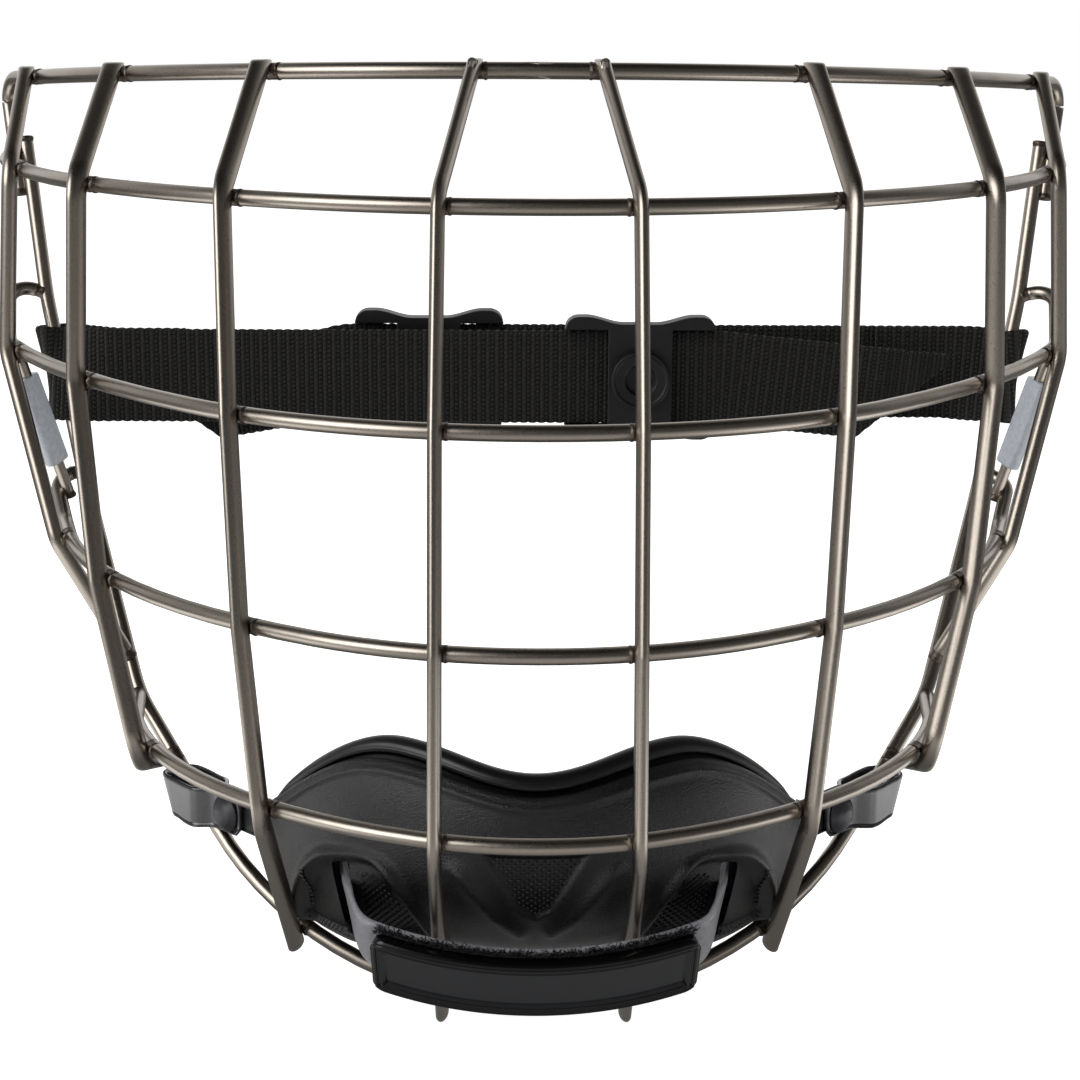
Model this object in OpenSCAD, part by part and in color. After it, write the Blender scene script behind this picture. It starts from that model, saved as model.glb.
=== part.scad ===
// Hockey face mask: a welded wire cage with a chin cup and two side straps.
// Frame: +Z up, -Y the front that a viewer faces, X to that viewer's right.
// The origin is the middle of the top rim wire, where a helmet's front clip holds it.
// Left and right are the viewer's, and uprights are counted from left to right.

/* [Wire] */
// Diameter of the rim wire
rim_d = 3; // [2.4:0.1:3.8]
// Diameter of the four cross bars
row_d = 2.9; // [2.4:0.1:3.6]
// Width of an oval upright, along the bars
upright_w = 2.4; // [2:0.1:3]
// Depth of an oval upright, from front to back
upright_deep = 3.9; // [3:0.1:4.6]
// Diameter of the two round outermost uprights
outer_d = 3.2; // [2.6:0.1:3.8]
// Diameter of the side stays that carry the labels
stay_d = 2.4; // [2:0.1:3]
// How far two welded wires run into each other
weld_sink = 0.3; // [0.15:0.05:0.5]
// How far an upright's flat top stands above the top rim's axis
top_over = 2.1; // [2:0.1:4]
// How far an upright runs past the chin rim's axis
chin_over = 5; // [3:0.5:8]
// Bend radius of an upright at the brow and chin bars
kink_r = 8; // [5:0.5:12]
// Bend radius of the hooks at the bars' ends
hook_r = 4.5; // [3:0.5:6]

/* [Cage] */
// Drop from the top rim to the brow bar
brow_z = 21.4; // [19:0.2:24]
// Drop from the top rim to the eye bar
eye_z = 57.9; // [55:0.2:60]
// Drop from the top rim to the mouth bar
mouth_z = 94.4; // [91:0.2:97]
// Drop from the top rim to the chin bar
chin_z = 127; // [124:0.2:130]
// Drop from the top rim to the chin rim
base_z = 175.8; // [172:0.2:180]
// Half width of the jaw, where the chin bar meets the rim
jaw_x = 81; // [79:0.5:84]
// Depth of the jaw behind the top rim
jaw_y = 42; // [40:0.5:45]
// Bend radius of the chin rim
chin_rim_r = 74; // [70:0.5:78]
// Half width of the temples, where the top rim turns down
temple_x = 113.4; // [111:0.2:115]
// Slope of the top rim towards the back, in degrees
rim_slope = 3; // [0:0.5:5]

/* [Side straps] */
// Width of the webbing
web_w = 20; // [18:0.5:22]
// Thickness of the webbing
web_t = 1.3; // [1:0.1:1.6]
// Height of the strap's middle below the top rim
strap_z = 65.8; // [64:0.2:68]
// How far the left strap lies in front of the right one
strap_gap = 9.5; // [9:0.5:12]
// Distance of a slider's middle from the mask's middle
slider_x = 22.5; // [18:0.5:26]
// Length of a slider
slider_l = 32; // [30:0.5:36]
// Height of a slider's end humps above the webbing
hump_h = 2.2; // [1.6:0.1:3]
// Outer diameter of the press-stud socket
socket_d = 12.3; // [11:0.1:14]
// Bore of the press-stud socket
socket_bore = 6.4; // [5.6:0.1:7]
// Depth of the socket's bore
socket_deep = 2.2; // [1.8:0.1:2.8]
// Length of a strap's loose tail past its slider
tail_l = 40; // [30:1:48]

/* [Chin cup] */
// Plan radius of the cup
cup_r = 55; // [52:0.5:56]
// Radius of the cup's upright section
cup_bulge = 30; // [28:0.5:32]
// Wall of the moulded shell
shell_t = 2.2; // [1.6:0.1:2.8]
// Thickness of the padded liner
liner_t = 5.5; // [4:0.5:7]
// How far the liner stands above the shell
liner_over = 3.2; // [2:0.2:4]
// Height of the shell's two peaks below the top rim
cup_peak_z = 121.5; // [120:0.5:124]
// Depth of the dip between the peaks
cup_dip = 4.2; // [3:0.2:6]
// Front of the cup
cup_front = -27; // [-28:0.5:-25]
// Drop from the top rim to the side tabs
tab_z = 144; // [143:0.5:145]
// Width of the vinyl side tabs
tab_w = 8.5; // [7.5:0.5:9]
// Thickness of the vinyl side tabs
tab_t = 0.9; // [0.7:0.1:1.2]
// Diameter of the tab rivets' posts
rivet_d = 3; // [2.4:0.1:3.6]
// Width of the hook-and-loop chin strap
chin_strap_w = 15; // [13:0.5:16]
// Thickness of the chin strap
chin_strap_t = 1.6; // [1.2:0.1:2]
// How far up the middle uprights the chin strap crosses them
strap_up = 31; // [29:0.5:33]
// Bend radius of the chin strap's front
band_r = 75; // [70:1:80]
// Length of the badge along its curve
badge_l = 59; // [54:1:60]
// Height of the badge
badge_h = 17; // [15:0.5:18]
// Thickness of the badge
badge_t = 2.4; // [1.8:0.1:3]

/* [Hidden] */
titanium = "#8a837b";
black = "#1f1e1d";
shell_black = "#2b2b2c";
eps = 0.01;

// Plan of each cross wire, as arcs that meet smoothly:
// front, first radius, its half angle, second radius, last angle.
top_plan = [0, 91, 37, 170, 66];
brow_plan = [-28.8, 88, 30, 132, 71];
eye_plan = [-37.6, 85, 46, 220, 68];
mouth_plan = [-44.3, 72, 32, 128, 76];
chin_plan = [-46.9, 57, 21, 95, 79];
plans = [top_plan, brow_plan, eye_plan, mouth_plan, chin_plan];
drops = [0, brow_z, eye_z, mouth_z, chin_z];

// Where the four uprights of one side cross the top rim and the four bars,
// from the outermost inwards, as distances from the middle.
cross_x = [[103.1, 102.3, 104.6, 94.2],
    [78.9, 81.8, 83.5, 79.5, 72.3],
    [47.8, 52.3, 51.4, 49.7, 46.5],
    [10.5, 16.1, 16.6, 16.6, 16.7]];
// Where the last three of them meet the chin rim
foot_x = [0, 72.5, 44.8, 16.9];
// The way in which each oval upright's section is turned, in degrees from the front
facing = [0, 56, 35, 12];

function unit(v) = v / norm(v);
function turn(a, b, c) = acos(min(1, max(-1, unit(b - a) * unit(c - b))));

// The plan depth of a cross wire at distance x from the middle
function plan_y(p, x) =
    let (j = p[1] * sin(p[2]), j_y = p[0] + p[1] * (1 - cos(p[2])),
        c_x = j - p[3] * sin(p[2]), c_y = j_y + p[3] * cos(p[2]))
    x <= j ? p[0] + p[1] - sqrt(p[1] * p[1] - x * x)
        : c_y - sqrt(p[3] * p[3] - (x - c_x) * (x - c_x));

// A point on the axis of cross wire i at distance x from the middle
function cross_at(i, x) =
    let (y = plan_y(plans[i], x))
    [x, y, i == 0 ? -y * tan(rim_slope) : -drops[i]];

// The chin rim is an arc in a plane that falls from the jaw to the chin.
chin_run = sqrt(jaw_y * jaw_y + pow(base_z - chin_z, 2));
chin_half = 2 * atan((chin_run) / (jaw_x + sqrt(jaw_x * jaw_x + chin_run * chin_run - 2 * chin_run * chin_rim_r)));
arc_x = chin_rim_r * sin(chin_half);
function chin_drop(x) = x <= arc_x ? chin_rim_r - sqrt(chin_rim_r * chin_rim_r - x * x)
    : chin_rim_r * (1 - cos(chin_half)) + (x - arc_x) * tan(chin_half);
function chin_at(x, w) = [x, w / chin_run * jaw_y - 1, w / chin_run * (base_z - chin_z) - base_z];
function foot_at(x) = chin_at(x, chin_drop(x));

// A path point list with its bend radii: arcs of a plan become corners of its outline.
function plan_corners(i, x_sign) =
    let (p = plans[i], t1 = p[1] * tan(p[2] / 2), t2 = p[3] * tan((p[4] - p[2]) / 2),
        a = [t1, p[0]], b = a + (t1 + t2) * [cos(p[2]), sin(p[2])])
    [for (c = [a, b]) [x_sign * c[0], c[1], i == 0 ? -c[1] * tan(rim_slope) : -drops[i]]];

function mirrored(points) = [for (p = points) [-p[0], p[1], p[2]]];
function reversed(list) = [for (k = [len(list) - 1:-1:0]) list[k]];

// A straight piece of round wire from p to q
module rod(p, q, d) {
    v = q - p;
    if (norm(v) > 0.02)
        translate(p) rotate([0, acos(v[2] / norm(v)), atan2(v[1], v[0])])
            cylinder(d = d, h = norm(v), $fn = 24);
}

// A bend's arc as points, with its two ends
function arc_points(a, b, c, r, steps) =
    let (angle = turn(a, b, c), u = unit(a - b), v = unit(c - b),
        centre = b + unit(u + v) * r / cos(angle / 2),
        e1 = unit(b + u * r * tan(angle / 2) - centre), mid = unit(b - centre),
        e2 = unit(mid - e1 * (e1 * mid)))
    [for (s = [0:steps]) centre + r * (e1 * cos(angle * s / steps) + e2 * sin(angle * s / steps))];

// The points of a path with a bend radius at each inner corner. A point is left out where
// one bend starts at the end of the bend before it. A bend's straight steps stay within
// bend_error of its true arc.
bend_step = 12;
bend_error = 0.05;
function bend_steps(angle, r) =
    max(2, ceil(angle / min(bend_step, 2 * acos(1 - bend_error / max(r, 1)))));
function rounded(p, r) =
    let (all = concat([p[0]],
        [for (k = [1:len(p) - 2])
            for (q = arc_points(p[k - 1], p[k], p[k + 1], r[k],
                    bend_steps(turn(p[k - 1], p[k], p[k + 1]), r[k]))) q],
        [p[len(p) - 1]]))
    [for (k = [0:len(all) - 1]) if (k == 0 || norm(all[k] - all[k - 1]) > 0.05) all[k]];

// A wire of oval section along a path. The section keeps its long side towards the guide,
// and the ends are rounded by a smaller ring. Where top_z is given, the first end is cut
// level at that height.
wire_sides = 12;
end_round = 0.6;
module swept(path, guide, w, deep, top_z = undef) {
    n = len(path) - 1;
    first = unit(path[1] - path[0]);
    last = unit(path[n] - path[n - 1]);
    line = concat([path[0], path[0] + first * end_round], [for (k = [1:n - 1]) path[k]],
        [path[n] - last * end_round, path[n]]);
    m = len(line) - 1;
    rings = [for (k = [0:m])
        let (along = k < 2 ? first : k > m - 2 ? last : unit(line[k + 1] - line[k - 1]),
            out = unit(guide - along * (guide * along)), across = cross(along, out),
            s = k == 0 || k == m ? (k == 0 && top_z != undef ? 0.85 : 0.62) : 1)
        [for (q = [0:wire_sides - 1])
            let (p = line[k] + out * s * deep / 2 * cos(q * 360 / wire_sides)
                + across * s * w / 2 * sin(q * 360 / wire_sides))
            top_z == undef || k > 1 ? p : p + first * (top_z - 0.4 * k - p[2]) / first[2]]];
    polyhedron(points = [for (ring = rings) for (q = ring) q],
        faces = concat([for (q = [1:wire_sides - 2]) [0, q, q + 1]],
            [for (q = [1:wire_sides - 2]) m * wire_sides * [1, 1, 1] + [0, q + 1, q]],
            [for (k = [0:m - 1]) for (q = [0:wire_sides - 1])
                let (a = k * wire_sides + q, b = k * wire_sides + (q + 1) % wire_sides)
                each [[a, a + wire_sides, b], [b, a + wire_sides, b + wire_sides]]]));
}

// Round wire bent along a path, with a bend radius at each inner point
module wire(points, radii, d, top_z = undef) {
    swept(rounded(points, radii), [0.02, 0.03, 1], d, d, top_z);
}

// The rim's side, from the temple to the jaw, on the right
temple_depth = 91;
temple = [temple_x, temple_depth, -temple_depth * tan(rim_slope)];
flare = [plan_end(0, 78)[0], 78, -78 * tan(rim_slope)];
upper_end = [109.9, 85.4, -29];
lap = [108.9, 87.2, -17];
ear = [104.5, 80.5, -50];
cheek = [95.5, 69, -89];
jaw = chin_at(jaw_x, chin_run);
function on_line(a, b, z) = a + (b - a) * (z - a[2]) / (b[2] - a[2]);
// A wire's end stands this far from the axis of the wire that it is welded to.
butt = rim_d / 2 - weld_sink;
function butted(from, onto) = onto + unit(from - onto) * butt;

module top_rim() {
    half = concat(plan_corners(0, 1), [flare, temple, upper_end]);
    color(titanium)
        wire(concat(reversed(mirrored(half)), half),
            [0, 5, 25, top_plan[3], top_plan[1], top_plan[1], top_plan[3], 25, 5, 0], rim_d);
}

module lower_rim() {
    apex = chin_rim_r * (1 / cos(chin_half) - 1);
    side = [jaw, cheek, ear, lap];
    color(titanium)
        wire(concat(reversed(mirrored(side)), [chin_at(0, -apex)], side),
            [0, 40, 40, 30, chin_rim_r, 30, 40, 40, 0], rim_d);
}

// The point at depth y on the straight end of a cross bar's plan
function plan_end(i, y) =
    let (p = plans[i], x = (p[1] - p[3]) * sin(p[2]) + p[3] * sin(p[4]),
        e = p[0] + p[1] * (1 - cos(p[2])) + p[3] * (cos(p[2]) - cos(p[4])))
    [x + (y - e) / tan(p[4]), y, -drops[i]];

// A cross bar whose ends run through the given points and bend onto the rim's side
module hooked_bar(i, ends, radii, onto) {
    p = plans[i];
    half = concat(plan_corners(i, 1), ends, [butted(ends[len(ends) - 1], onto)]);
    color(titanium)
        wire(concat(reversed(mirrored(half)), half),
            concat([0], reversed(radii), [p[3], p[1], p[1], p[3]], radii, [0]), row_d);
}

brow_turn = plan_end(1, 82);
eye_turn = plan_end(2, 66);
eye_hook = [112, 79, -eye_z + 10.5];
mouth_turn = plan_end(3, 57);
mouth_hook = [101.9, 68.3, -mouth_z + 7.5];

module brow_bar() {
    hooked_bar(1, [brow_turn], [8], on_line(temple, upper_end, -brow_z + 2));
}
module eye_bar() {
    hooked_bar(2, [eye_turn, eye_hook], [8, hook_r], on_line(ear, cheek, -eye_z + 8.5));
}
module mouth_bar() {
    hooked_bar(3, [mouth_turn, mouth_hook], [8, hook_r], on_line(ear, cheek, -mouth_z + 8));
}
module chin_bar() {
    hooked_bar(4, [plan_end(4, jaw_y - 20)], [8], jaw);
}

// The outward offset path of an upright over the wires that it is welded to. A bend cuts its
// corner, so the corner lies that much further out.
function outward(points, guide, off) = [for (k = [0:len(points) - 1])
    let (a = points[max(0, k - 1)], b = points[k], c = points[min(len(points) - 1, k + 1)],
        angle = k == 0 || k == len(points) - 1 ? 0 : turn(a, b, c),
        along = unit(c - a), side = guide - along * (guide * along))
    b + unit(side) * off
        - (angle < 1 ? [0, 0, 0] : unit(unit(a - b) + unit(c - b)) * kink_r * (1 / cos(angle / 2) - 1))];

function upright_guide(j) = [sin(facing[j]), -cos(facing[j]), -0.12];
function upright_axis(j) =
    let (guide = upright_guide(j),
        on = concat([for (i = [0:4]) cross_at(i, cross_x[j][i])], [foot_at(foot_x[j])]),
        off = upright_deep / 2 + row_d / 2 - weld_sink,
        p = outward(on, guide, off), n = len(p) - 1,
        over = j == 1 ? 1 : chin_over)
    concat([for (k = [0:n - 1]) p[k]], [p[n] + unit(p[n] - p[n - 1]) * over]);
// The level of an upright's flat top
function upright_top(j) = cross_at(0, cross_x[j][0])[2] + top_over;

module right_upright(j) {
    axis = upright_axis(j);
    color(titanium)
        swept(rounded(axis, [for (p = axis) kink_r]), upright_guide(j), upright_w, upright_deep,
            upright_top(j));
}

// The outermost upright is round wire, and it ends on the rim above the jaw.
module right_outer_upright() {
    foot = on_line(cheek, jaw, -chin_z + 6);
    on = concat([for (i = [0:3]) cross_at(i, cross_x[0][i])], [foot]);
    p = outward(on, [0.91, -0.42, 0], outer_d / 2 + row_d / 2 - weld_sink);
    color(titanium)
        wire(concat([for (k = [0:3]) p[k]], [butted(p[3], foot)]),
            [0, kink_r, kink_r, kink_r, 0], outer_d, upright_top(0));
}

// A stay runs straight from under the eye bar to the rising end of the mouth bar.
stay_x = 106.5;
stay_top = cross_at(2, stay_x) - [0, -0.5, row_d / 2 - weld_sink];
stay_rise = mouth_turn + (mouth_hook - mouth_turn) * 0.64;
stay_foot = stay_rise - [row_d / 2 + stay_d / 2 - 0.45, 0, 0.6];
module right_stay() {
    color(titanium) rod(stay_top, stay_foot, stay_d);
}

// A blank label is folded round the stay as a flat sleeve.
module right_label() {
    way = unit(stay_foot - stay_top);
    start = stay_top + way * 5.6;
    color("#c9ccd1")
        translate(start)
            rotate([0, acos(way[2]), atan2(way[1], way[0])])
                rotate([0, 0, 25]) difference() {
                    linear_extrude(19.5) {
                        square([2.6, stay_d + 0.8], center = true);
                        for (s = [-1, 1]) translate([s * 1.3, 0])
                            circle(d = stay_d + 0.8, $fn = 24);
                    }
                    translate([0, 0, -1]) cylinder(d = stay_d + 0.04, h = 21, $fn = 24);
                }
}

// Each side strap is sewn round the rim below the ear, and crosses to the other side.
strap_hold = on_line(ear, cheek, -strap_z);
strap_way = unit(cheek - ear);
loop_d = rim_d + 0.8;

// The sewn loop of webbing round the slanted rim wire, on the right
module right_loop() {
    translate(strap_hold) rotate([0, acos(-strap_way[2]), atan2(-strap_way[1], -strap_way[0])])
        difference() {
            cylinder(d = loop_d + 2 * web_t, h = web_w, center = true, $fn = 32);
            cylinder(d = loop_d, h = web_w + 2, center = true, $fn = 32);
        }
}

// The strap lies along X at the given depth. The tail leaves its slider and falls at a slant.
module strap_band(y, fall) {
    far = -slider_x - slider_l / 2 + 0.5;
    start = strap_hold[0] - loop_d / 2 - web_t / 2;
    translate([far, y - web_t / 2, -strap_z - web_w / 2])
        cube([start - 8 - far, web_t, web_w]);
    for (s = [0, 1])
        translate([start - 9, y - web_t / 2, -strap_z - web_w / 2])
            linear_extrude(web_w)
                polygon([[0, 0], [9.6, strap_hold[1] - y + (s == 0 ? loop_d / 2 : -loop_d / 2 - web_t)],
                    [9.6, strap_hold[1] - y + (s == 0 ? loop_d / 2 : -loop_d / 2 - web_t) + web_t],
                    [0, web_t]]);
    translate([far, y, -strap_z]) rotate([0, -fall, 0]) rotate([90, 0, 0])
        translate([0, 0, -web_t / 2]) linear_extrude(web_t)
            polygon([[1.5, -web_w / 2], [1.5, web_w / 2], [-tail_l - 12, web_w / 2],
                [-tail_l + 8, -web_w / 2]]);
}

left_strap_y = strap_hold[1] - strap_gap / 2;
right_strap_y = strap_hold[1] + strap_gap / 2;

module strap_right() {
    color(black) difference() {
        union() {
            right_loop();
            strap_band(right_strap_y, 10);
        }
        rod(on_line(ear, cheek, -strap_z + 20), on_line(ear, cheek, -strap_z - 20), loop_d);
    }
}
module strap_left() {
    color(black) mirror([1, 0, 0]) difference() {
        union() {
            right_loop();
            strap_band(left_strap_y, 5.5);
        }
        rod(on_line(ear, cheek, -strap_z + 20), on_line(ear, cheek, -strap_z - 20), loop_d);
    }
}

// A moulded slider round its webbing: end bars behind it, a bridge with the socket before it
slot_play = 0.3;
slider_front = web_t / 2 + slot_play;
slider_wall = 1.5;
module slider(x, y) {
    half_h = web_w / 2 + slot_play;
    color(black) translate([x, y, -strap_z]) difference() {
        rotate([90, 0, 0]) translate([0, 0, -slider_front - slider_wall])
            linear_extrude(2 * (slider_front + slider_wall)) difference() {
                union() {
                    square([slider_l - 6, 2 * half_h + 2.4], center = true);
                    for (s = [-1, 1]) for (t = [-1, 1])
                        translate([s * (slider_l / 2 - 4), t * (half_h - 2.4 + hump_h - 1)])
                            circle(r = 4, $fn = 32);
                    for (s = [-1, 1]) translate([s * (slider_l / 2 - 4), 0])
                        square([8, 2 * half_h - 2], center = true);
                }
            }
        cube([slider_l + 4, 2 * slider_front, 2 * half_h], center = true);
        for (s = [-1, 1])
            translate([s * (slider_l / 2 - 3.2), -slider_front - slider_wall, 0])
                cube([12, 2 * slider_wall + 1, 2 * half_h], center = true);
        translate([0, slider_front + slider_wall, 0])
            cube([slider_l - 12, 2 * slider_wall + 1, 2 * half_h], center = true);
        translate([0, -slider_front, 0]) rotate([90, 0, 0])
            translate([0, 0, -1]) cylinder(d = rivet_d, h = slider_wall + 2, $fn = 32);
    }
}
module slider_right() { slider(slider_x, left_strap_y); }
module slider_left() { slider(-slider_x, right_strap_y); }

// A press-stud socket sits on the bridge, with its bore towards the front.
socket_floor = 0.7;
spring_wire = 0.6;
// How far the spring's wire sits outside the bore's wall; its inner side stands 0.2 mm into the bore.
spring_seat = 0.1;
module socket(x, y) {
    base = y - slider_front - slider_wall;
    color(black) translate([x, base, -strap_z]) rotate([90, 0, 0]) difference() {
        union() {
            cylinder(d = socket_d, h = socket_floor + socket_deep, $fn = 48);
            translate([0, 0, -slider_wall]) cylinder(d = rivet_d - 0.04, h = slider_wall + eps, $fn = 32);
        }
        translate([0, 0, socket_floor]) cylinder(d = socket_bore, h = socket_deep + 1, $fn = 48);
        translate([0, 0, socket_floor + socket_deep / 2]) rotate_extrude($fn = 48)
            translate([socket_bore / 2 + spring_seat, 0]) circle(d = spring_wire + 0.3, $fn = 24);
    }
}
// The open wire ring in the socket's groove that grips a stud
module stud_spring(x, y) {
    base = y - slider_front - slider_wall;
    color("#b9b7b2") translate([x, base, -strap_z]) rotate([90, 0, 0])
        translate([0, 0, socket_floor + socket_deep / 2]) rotate([0, 0, 20])
            rotate_extrude(angle = 320, $fn = 48) translate([socket_bore / 2 + spring_seat, 0])
                circle(d = spring_wire, $fn = 24);
}
module socket_right() { socket(slider_x, left_strap_y); }
module socket_left() { socket(-slider_x, right_strap_y); }
module stud_spring_right() { stud_spring(slider_x, left_strap_y); }
module stud_spring_left() { stud_spring(-slider_x, right_strap_y); }

// The chin cup is a bowl turned about an upright axis and cut to a wavy top edge.
cup_y = cup_front + cup_r;
cup_mid_z = -cup_peak_z - 12.5;
peak_x = 28;
function cup_top(x) = let (a = abs(x))
    a < peak_x ? -cup_peak_z - cup_dip * (1 + cos(180 * a / peak_x)) / 2
        : -cup_peak_z - 16 * pow((a - peak_x) / 24, 2);
// Plan radius of the bowl's surface of section radius b at height z
function bowl_r(z, b) = cup_r - cup_bulge + sqrt(b * b - pow(cup_mid_z - z, 2));

module bowl(outer, inner) {
    rotate_extrude($fn = 96) intersection() {
        translate([cup_r - cup_bulge, cup_mid_z]) difference() {
            circle(r = outer, $fn = 72);
            circle(r = inner, $fn = 72);
        }
        translate([cup_r - cup_bulge, cup_mid_z - 40]) square([60, 80]);
    }
}

// Where the rim passes through a side tab, and the rivet that closes the tab
tab_w_at = chin_run * (base_z - tab_z) / (base_z - chin_z);
tab_rim = chin_at(arc_x + (tab_w_at - chin_rim_r * (1 - cos(chin_half))) / tan(chin_half), tab_w_at);
// A tongue at each side of the shell runs from its wall towards the rim, to the rivet.
tongue_side = 62;
tongue_r = bowl_r(-tab_z, cup_bulge - shell_t / 2);
tongue_from = [tongue_r * sin(tongue_side), cup_y - tongue_r * cos(tongue_side), -tab_z];
tab_angle = atan2(tab_rim[1] - tongue_from[1], tab_rim[0] - tongue_from[0]);
tab_reach = 12.1;
rivet_at = tab_rim - tab_reach * [cos(tab_angle), sin(tab_angle), 0];
tongue_t = 1.6;
tongue_h = 7;
tab_gap = 0.3;

// The chin strap crosses the front of the two middle uprights, a little steeper than they are.
strap_tip = 6.5;
skin_gap = 0.3;
front_line = outward([cross_at(4, cross_x[3][4]), foot_at(foot_x[3])], [0, -1, -0.12],
    upright_deep + row_d / 2 - weld_sink);
front_way = unit(front_line[0] - front_line[1]);
strap_mid = front_line[1] + front_way * strap_up;
strap_lean = atan2(-front_way[1], front_way[2]) - strap_tip;
strap_out = sqrt(band_r * band_r - pow(foot_x[3] + upright_w, 2)) - skin_gap
    - chin_strap_w / 2 * tan(strap_tip);
band_half = 22.6;
band_low = -chin_strap_w / 2;
module strap_frame() {
    translate([0, strap_mid[1], strap_mid[2]]) rotate([strap_lean, 0, 0])
        translate([0, strap_out, 0]) children();
}
// A sector of a band round the strap frame's axis, from its low to its high edge
module band_arc(r, t, low, high, half) {
    strap_frame() rotate([0, 0, -90 - half]) rotate_extrude(angle = 2 * half, $fn = 96)
        translate([r, low]) square([t, high - low]);
}

// Each end of the strap enters the shell by a slot in its wall.
slot_side = 46;
slot_z = cup_mid_z - 16.5;
slot_r = bowl_r(slot_z, cup_bulge - shell_t / 2);
slot_at = [slot_r * sin(slot_side), cup_y - slot_r * cos(slot_side), slot_z];
slot_way = 69;
slot_h = chin_strap_w - 3;
module strap_slab(length, t, h) {
    translate(slot_at) rotate([slot_roll, 0, slot_way]) cube([length, t, h], center = true);
}
// The chin strap's four corners at an angle along its arc: inner low, outer low, outer high, inner high
function band_corners(a) = [for (c = [[0, -1], [1, -1], [1, 1], [0, 1]])
    let (r = band_r + c[0] * chin_strap_t, h = c[1] * chin_strap_w / 2,
        y = strap_out - r * cos(a))
    [r * sin(a), strap_mid[1] + y * cos(strap_lean) - h * sin(strap_lean),
        strap_mid[2] + y * sin(strap_lean) + h * cos(strap_lean)]];
// The same four corners where the strap passes the slot, at a distance along it
slot_roll = 31;
function slot_corners(x) = [for (c = [[1, -1], [-1, -1], [-1, 1], [1, 1]])
    let (y = c[0] * chin_strap_t / 2, h = c[1] * slot_h / 2,
        across = y * cos(slot_roll) - h * sin(slot_roll))
    slot_at + [x * cos(slot_way) - across * sin(slot_way), x * sin(slot_way) + across * cos(slot_way),
        y * sin(slot_roll) + h * cos(slot_roll)]];

module cup_shell() {
    color(shell_black) difference() {
        union() {
            intersection() {
                translate([0, cup_y, 0]) bowl(cup_bulge, cup_bulge - shell_t);
                translate([0, cup_y - 6, 0]) rotate([90, 0, 0]) linear_extrude(70)
                    polygon(concat([[-60, cup_mid_z - 36], [60, cup_mid_z - 36]],
                        [for (x = [60:-2:-60]) [x, cup_top(x)]]));
            }
            for (s = [0, 1]) mirror([s, 0, 0]) translate(tongue_from)
                rotate([0, 0, tab_angle]) translate([0, -tongue_t / 2, -tongue_h / 2])
                    cube([norm(rivet_at - tongue_from) + 2.6, tongue_t, tongue_h]);
        }
        for (s = [0, 1]) mirror([s, 0, 0]) {
            strap_slab(15, chin_strap_t + 1.8, slot_h + 4);
            translate(rivet_at) rotate([90, 0, tab_angle])
                cylinder(d = rivet_d + 0.6, h = 10, center = true, $fn = 32);
        }
    }
}

// The liner is a padded collar inside the shell, with a rounded lip over its edge.
liner_low = cup_mid_z - 8.5;
liner_sides = 16;
function liner_section(x) =
    let (top = cup_top(x) + liner_over, outer = cup_bulge - shell_t - 0.15,
        edge = cup_top(x))
    concat(
        [for (k = [0:4]) let (z = liner_low + (edge - liner_low) * k / 4) [bowl_r(z, outer), z]],
        [[bowl_r(edge, outer) + 0.9, edge + 0.4], [bowl_r(edge, outer) + 0.9, top - 1.1],
            [bowl_r(edge, outer) - 0.4, top], [bowl_r(edge, outer) - 2.6, top - 0.2]],
        [for (k = [0:6]) let (z = top - 1.6 + (liner_low - top + 1.6) * k / 6,
                crown = 0.45 + 0.55 * sin(180 * (k + 0.6) / 7.2))
            [bowl_r(z, outer) - liner_t * crown, z]]);
liner_half = 74;
module cup_liner() {
    steps = 48;
    rings = [for (s = [0:steps])
        let (a = -liner_half + 2 * liner_half * s / steps,
            sec = liner_section((cup_r - 4) * sin(a)))
        [for (p = sec) [p[0] * sin(a), cup_y - p[0] * cos(a), p[1]]]];
    m = liner_sides;
    color(black) polyhedron(points = [for (ring = rings) for (p = ring) p],
        faces = concat([[for (q = [m - 1:-1:0]) q]], [[for (q = [0:m - 1]) steps * m + q]],
            [for (s = [0:steps - 1]) for (q = [0:m - 1])
                let (a = s * m + q, b = s * m + (q + 1) % m)
                each [[a, b, a + m], [b, b + m, a + m]]]));
}

// A side tab is a strip of vinyl looped round the rim and closed over the cup's tongue.
tab_loop_r = 3.6;
tab_near = -3.9;
tab_far = 4.9;
module tab_outline(r) {
    for (x = [tab_near, tab_far]) translate([x, 0]) circle(r = r, $fn = 48);
    translate([tab_near, -r]) square([tab_far - tab_near, 2 * r]);
}
module right_tab() {
    inner = tongue_t / 2 + tab_gap;
    meet = tab_reach + tab_near - sqrt(tab_loop_r * tab_loop_r - inner * inner);
    color(shell_black) translate([0, 0, -tab_w / 2]) difference() {
        translate(rivet_at) rotate([0, 0, tab_angle]) linear_extrude(tab_w) {
            for (s = [-1, 1]) translate([-4, s > 0 ? inner : -inner - tab_t])
                square([4 + meet, tab_t]);
            translate([tab_reach, 0]) difference() {
                tab_outline(tab_loop_r + tab_t);
                tab_outline(tab_loop_r);
                translate([tab_near - tab_loop_r - 3, -inner]) square([6, 2 * inner]);
            }
        }
        translate([0, 0, tab_w / 2]) translate(rivet_at) rotate([90, 0, tab_angle])
            cylinder(d = rivet_d + 0.04, h = 10, center = true, $fn = 32);
    }
}

module right_rivet() {
    side = tongue_t / 2 + tab_gap + tab_t;
    color(shell_black) translate(rivet_at) rotate([90, 0, tab_angle]) {
        translate([0, 0, -side]) cylinder(d = rivet_d, h = 2 * side, $fn = 32);
        translate([0, 0, side]) cylinder(d1 = 7.4, d2 = 4.6, h = 1.3, $fn = 48);
        translate([0, 0, -side - 0.8]) cylinder(d = 6.4, h = 0.8, $fn = 48);
    }
}

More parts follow.
